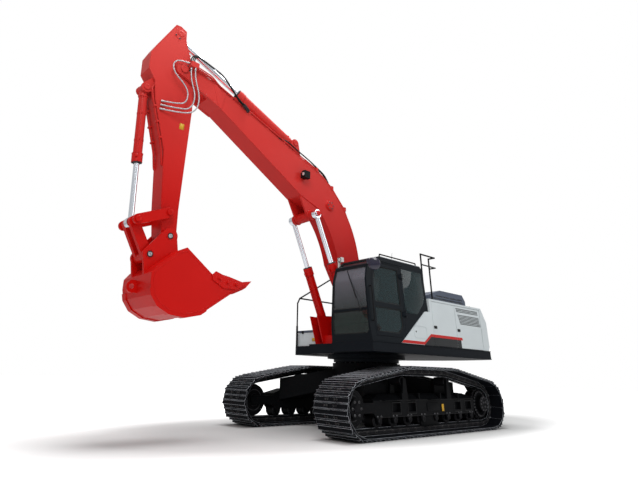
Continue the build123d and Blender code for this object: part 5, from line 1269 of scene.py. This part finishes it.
boom_lines = []
for start_y, run_y, end_y in ((.060, .168, .250), (.130, .193, .285), (.185, .218, .325)):
    route = [at(1.960, start_y, 5.140), top_line(.62, start_y, .045), top_line(.86, run_y, .045),
             top_line(2.90, run_y, .045), top_line(3.14, end_y, .010), at(4.905, end_y, 6.117)]
    boom_lines.append(bent(route, .012, reach=.07, sides=12))
solid_piece("boom_lines", "boom_body", red, *boom_lines)
clamp_spots = [1.05, 1.55, 2.05, 2.55]
clamp_plan = eased(rectangle(-.022, .022, .150, .209), .008, closed=True)
solid_piece("line_clamps", "boom_body", red,
            *[slab(clamp_plan, top_line(t, 0, -.001), incline, (0, 1, 0), .066, .006) for t in clamp_spots])
solid_piece("clamp_bolts", "boom_body", black_bolt,
            *bolts([top_line(t, .180, .065) for t in clamp_spots], square_on, .020))

# ------------------------------------------------------------ rubber hoses on the boom
# Three hoses of rubber over steel wire rise beside the arm cylinder in an arch and drop to the hose block,
# and two more cross the boom's knee. The front three start from bent steel ends on the boom's side.
pipe_steel = bare_edges("pipe_steel", "frame_black", (0.020, 0.020, 0.022), (0.30, 0.30, 0.31), 0.5)
arch_y, knee_y = (.236, .266, .296), (.172, .202)
top_hoses = [bent([at(3.740, y, 5.765), at(3.900, y, 5.870 - .02 * k), at(4.060, y, 6.040 - .03 * k),
                   at(4.300, y, 6.270 - .035 * k), at(4.620, y, 6.360 - .035 * k),
                   at(4.930, y, 6.440 - .035 * k), at(5.030 - .02 * k, y, 6.330 - .03 * k),
                   at(5.015 - .03 * k, y, 6.170)], .0125, reach=.09, sides=12)
             for k, y in enumerate(arch_y)]
knee_hoses = [bent([at(1.300, y, 4.800), at(1.420, y, 4.960), at(1.860, y, 5.190 - .03 * k),
                    at(2.220, y, 5.320 - .03 * k), at(2.500, y, 5.440 - .03 * k),
                    at(2.720, y, 5.430 - .02 * k), at(2.830, y, 5.400)], .013, reach=.10, sides=12)
              for k, y in enumerate(knee_y)]
solid_piece("boom_hoses", "boom_body", rubber, *top_hoses, *knee_hoses)
solid_piece("hose_ends", "boom_body", pipe_steel,
            *[bent([at(3.640, .2095, 5.690), at(3.640, y, 5.690), at(3.700, y, 5.740), at(3.770, y, 5.785)],
                   .016, reach=.02, steps=3) for y in arch_y])

# ------------------------------------------------------------ hoses at the joint
# Three hydraulic hoses in a sleeve of braided steel, from the block at the boom's end down to the arm's
# side. A crimped collar holds each in the block, and a crimped fitting with a hexagon nut ends it.
braid = Finish("braided_sleeve", "hose_silver")
x, y, z = braid.place()
weave = abs(((x + y + z) * 620.0).maths("SINE")) * 0.5 + abs(((x + y - z) * 620.0).maths("SINE")) * 0.5
braid.set(Base_Color=braid.mix(weave, (0.20, 0.205, 0.22, 1), (0.62, 0.63, 0.66, 1)), Metallic=0.55,
          Roughness=0.34 + 0.18 * noise(braid, 14.0, 4.0),
          Normal=braid.node("ShaderNodeBump", {}, {"Strength": 0.5, "Distance": 0.0015, "Height": weave}))
ferrule_steel = Finish("ferrule_steel", "hose_silver")
scuffs = noise(ferrule_steel, 90.0, 4.0)
ferrule_steel.set(Base_Color=ferrule_steel.mix(scuffs, (0.30, 0.30, 0.31, 1), (0.55, 0.55, 0.57, 1)),
                  Metallic=0.9, Roughness=0.28 + 0.2 * scuffs)
HOSE_R = 0.013
# corners of each hose, x along the machine, y out of its side, z up
hose_runs = {
    "hose_front": [(3.6103, .285, 6.140), (3.890, .285, 6.140), (3.950, .285, 5.850), (3.560, .285, 5.600),
                   (3.560, .285, 5.290), (3.750, .260, 5.215), (3.990, .198, 5.195)],
    "hose_middle": [(3.580, .315, 6.0597), (3.580, .315, 5.850), (3.410, .315, 5.480), (3.480, .315, 5.180),
                    (3.710, .280, 5.120), (3.990, .198, 5.115)],
    "hose_rear": [(3.510, .345, 6.0597), (3.510, .345, 5.880), (3.330, .345, 5.450), (3.400, .345, 5.130),
                  (3.670, .290, 5.040), (3.990, .198, 5.035)]}
crimp = [(0.0, 0.0155), (0.004, 0.0175), (0.03, 0.0175), (0.032, 0.0160), (0.036, 0.0160), (0.038, 0.0175),
         (0.062, 0.0175), (0.066, 0.0150)]
nut = [(0, 0.011), (0.001, 0.018), (0.018, 0.018), (0.019, 0.012)]


def hose_lines():
    """One open NURBS spline of order three per hose, its control points the hose's corners, with a collar at
    its start and a fitting at its end."""
    made = {}
    for name, corners in hose_runs.items():
        curve = bpy.data.curves.new(name, "CURVE")
        curve.dimensions = "3D"
        curve.bevel_depth, curve.bevel_resolution, curve.resolution_u = HOSE_R, 4, 16
        curve.use_fill_caps = True
        line = curve.splines.new("NURBS")
        line.points.add(len(corners) - 1)
        line.points.foreach_set("co", np.column_stack([corners, np.ones(len(corners))]).ravel())
        line.order_u = 3
        line.use_endpoint_u = True
        curve.materials.append(braid.material)
        hose = bpy.data.objects.new(name, curve)
        bpy.context.collection.objects.link(hose)
        first, second, last_but_one, last = (np.array(corners[i]) for i in (0, 1, -2, -1))
        end_way = last - last_but_one
        end_way /= np.linalg.norm(end_way)
        collar = solid_piece(name + "_collar", "boom_body", ferrule_steel,
                             turned(first, second - first, crimp))
        fitting = solid_piece(name + "_fitting", "boom_body", ferrule_steel,
                              turned(last - 0.070 * end_way, end_way, crimp),
                              turned(last - 0.004 * end_way, end_way, nut, sides=6))
        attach(hose, "boom_body")
        made[name] = hose
    return made


hoses = hose_lines()
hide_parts("joint_hoses")

# ------------------------------------------------------------ cylinders
# Each barrel is a honed steel tube: a gland with ten bolts round the rod, a collar at the head, one at the
# foot, two clamp bands, and an oil pipe from foot to head that four blocks hold off the tube.
# the bands' places as shares of the barrel, and those of the collars and the pipe as lengths from its ends
band_shares, head_back, collar_up, pipe_up, pipe_back = (.34, .70), .162, .13, .16, .10
# how far the pipe's middle runs off the tube, and how far its ends go in
pipe_gap, pipe_in = .030, .01
sideways = np.array([0, 1.0, 0])
cylinders = (
    ("boom_cylinder", "boom_barrel_body", (.740, 1.580), (1.820, 3.920), (.360, -.360), 1.530, .084, .048, 1),
    ("arm_cylinder", "arm_barrel_body", (2.260, 5.490), (5.280, 6.800), (0.0,), 1.660, .098, .055, -1),
    ("bucket_cylinder", "bucket_barrel_body", (5.720, 5.400), (5.520, 3.005), (0.0,), 1.390, .076, .045, -1))
for name, body, base, eye, ys, length, r, rod_r, outward in cylinders:
    d = np.array([eye[0] - base[0], 0, eye[1] - base[1]])
    d /= np.linalg.norm(d)
    n = np.array([d[2], 0, -d[0]]) * outward
    foot = np.array([at(base[0], y, base[1]) for y in ys])
    top = foot + d * length
    under = r - .003
    gland = [(-.002, rod_r + .004), (-.002, r - .006), (.010, r - .006), (.016, r - .014),
             (.018, rod_r + .014), (.014, rod_r + .004), (-.002, rod_r + .004)]
    band = [(0, under), (0, r + .004), (.030, r + .004), (.030, under), (0, under)]
    head = [(0, under), (.002, r + .014), (.006, r + .018), (.016, r + .018), (.018, under), (0, under)]
    foot_collar = [(0, under), (0, r + .008), (.008, r + .012), (.030, r + .012), (.038, r + .006),
                   (.038, under), (0, under)]
    solid_piece(name + "_gland", body, pipe_steel, turned(top, d, gland, 40))
    bolt_places = [t + (r + .001) * (np.cos(a) * n + np.sin(a) * sideways) - .001 * d
                   for t in top for a in spaced_turns(10)]
    solid_piece(name + "_bolts", body, black_bolt, *bolts(bolt_places, d, .020, washer=False))
    solid_piece(name + "_bands", body, red,
                *[turned(foot + d * k * length, d, band, 40) for k in band_shares],
                turned(top - d * head_back, d, head, 40),
                turned(foot + d * collar_up, d, foot_collar, 40))
    pipe_out, pipe_across = n, sideways
    if name == "bucket_cylinder":
        pipe_out, pipe_across = .5 * n + .866 * sideways, .5 * sideways - .866 * n
    hand = 1 if np.dot(np.cross(d, pipe_across), pipe_out) > 0 else -1
    pipe_parts, pipe_blocks = [], []
    for f, t in zip(foot, top):
        near, far = f + d * pipe_up, t - d * pipe_back
        bends = [near + pipe_out * (r - pipe_in), near + pipe_out * (r + pipe_gap),
                 far + pipe_out * (r + pipe_gap), far + pipe_out * (r - pipe_in)]
        pipe_parts.append(bent(bends, .011, reach=.035, sides=12))
        for k in (pipe_up / length, .345, .705, 1 - pipe_back / length):
            pipe_blocks.append(slab(oblong(.026, .022, .008), f + d * k * length + pipe_out * (r - .006), d,
                                    pipe_across * hand, .030 if .2 < k < .8 else .050, .004))
    solid_piece(name + "_pipe", body, red, *pipe_parts, *pipe_blocks)

# ------------------------------------------------------------ bucket
# The side cutters are cast plates with a toothed upper edge, each on three large bolts. The shell's side
# plates are welded on along their edge, and the ears' bosses are welded round the pins.
bucket_side = .500
cutter_bolts = []
for s in (1, -1):
    seats = [at(x, s * (bucket_side + .0195), z)
             for x, z in ((3.790, 2.212), (3.950, 2.226), (4.110, 2.268))]
    cutter_bolts += bolts(seats, (0, s, 0), .048)
solid_piece("cutter_bolts", "bucket_body", red, *cutter_bolts)
saw = np.array([(3.700, 2.262), (3.740, 2.290), (3.760, 2.274), (3.800, 2.300), (3.820, 2.284),
                (3.860, 2.312), (3.880, 2.296), (3.920, 2.326), (3.940, 2.308), (3.985, 2.336),
                (4.005, 2.318), (4.040, 2.338), (4.030, 2.306), (3.900, 2.282), (3.760, 2.255)])
solid_piece("cutter_edges", "bucket_body", red,
            *[slab(saw * [-s, 1] - [s * swing_x, 0], (0, s * (bucket_side - .001), 0), (-s, 0, 0),
                   (0, 0, 1), .018, .003)
              for s in (1, -1)])
shell_line = [(3.640, 2.215), (4.380, 1.720), (4.640, 1.660), (4.895, 1.685), (5.085, 1.775), (5.195, 1.910),
              (5.240, 2.062), (5.245, 2.205), (5.180, 2.295), (4.860, 2.575), (4.745, 2.640), (4.250, 2.330)]
shell_bead = [(.016, -.002), (.019, .003), (.023, .0045), (.027, .003), (.030, -.002)]
bucket_welds = [on_side(eased(shell_line, .08, closed=True), bucket_side, shell_bead, s) for s in (1, -1)]
bucket_welds += [boss_weld(x, z, .2325, s, [(0, .072), (.003, .070), (.0045, .062), (0, .060)], 36)
                 for x, z, s in bucket_pins]
solid_piece("bucket_welds", "bucket_body", red, *bucket_welds)

# ------------------------------------------------------------ pipes on the arm
# Two steel pipes a side run down the arm's outer wall, under the bucket cylinder. Three steel saddles a
# side hold them, and all are painted with the arm.
arm_pipes = [bent([at(5.560, s * y, 5.560), at(5.640, s * y, 5.430), at(5.585, s * y, 5.210),
                   at(5.290, s * y, 4.340), at(5.235, s * y, 4.040), at(5.195, s * y, 4.030)],
                  .012, reach=.06, sides=10) for y in (.125, .155) for s in (1, -1)]
saddles = [slab(oblong(.018, .045, .008), at(5.250 + .31 * t, s * .140, 4.300 + .92 * t), (.319, 0, .948),
                (0, -1, 0), .045, .005) for t in (.25, .55, .85) for s in (1, -1)]
solid_piece("arm_pipes", "arm_body", red, *arm_pipes, *saddles)

# ------------------------------------------------------------ arm labels
# A blank yellow label on either side of the arm, where the real one warns of the moving bucket: thin plate
# with eased corners, glued on.
solid_piece("arm_labels", "arm_body", label_yellow,
            *[slab(oblong(.045, .06, .008), at(4.985, s * (arm_side - .0001), 4.86), (-s, 0, 0), (0, 0, 1),
                   .0012, .0004) for s in (1, -1)])

# ------------------------------------------------------------ boom lamp's glass
# The same domed glass as the cab's lamp has, pressed into the front of the lamp that is bolted to the
# boom's left side.
solid_piece("boom_lamp_lens", "boom_body", lens, turned(at(2.1595, .315, 4.740), (1, 0, 0), lens_dome, 24))

# ------------------------------------------------------------ welds of the boom's bracket
# Straight fillet welds along the foot of the bracket's plates, where they stand on the deck: three a side,
# painted over in red.
foot_runs = ((-.24, 1.01, .266), (-.24, .93, .231), (.34, 1.01, .450))
solid_piece("bracket_welds", "upper", red,
            *[bent([at(rear, s * y, 1.484), at(.4, s * y, 1.484), at(front, s * y, 1.484)], .007,
                   reach=.01, sides=6) for s in (1, -1) for rear, front, y in foot_runs])
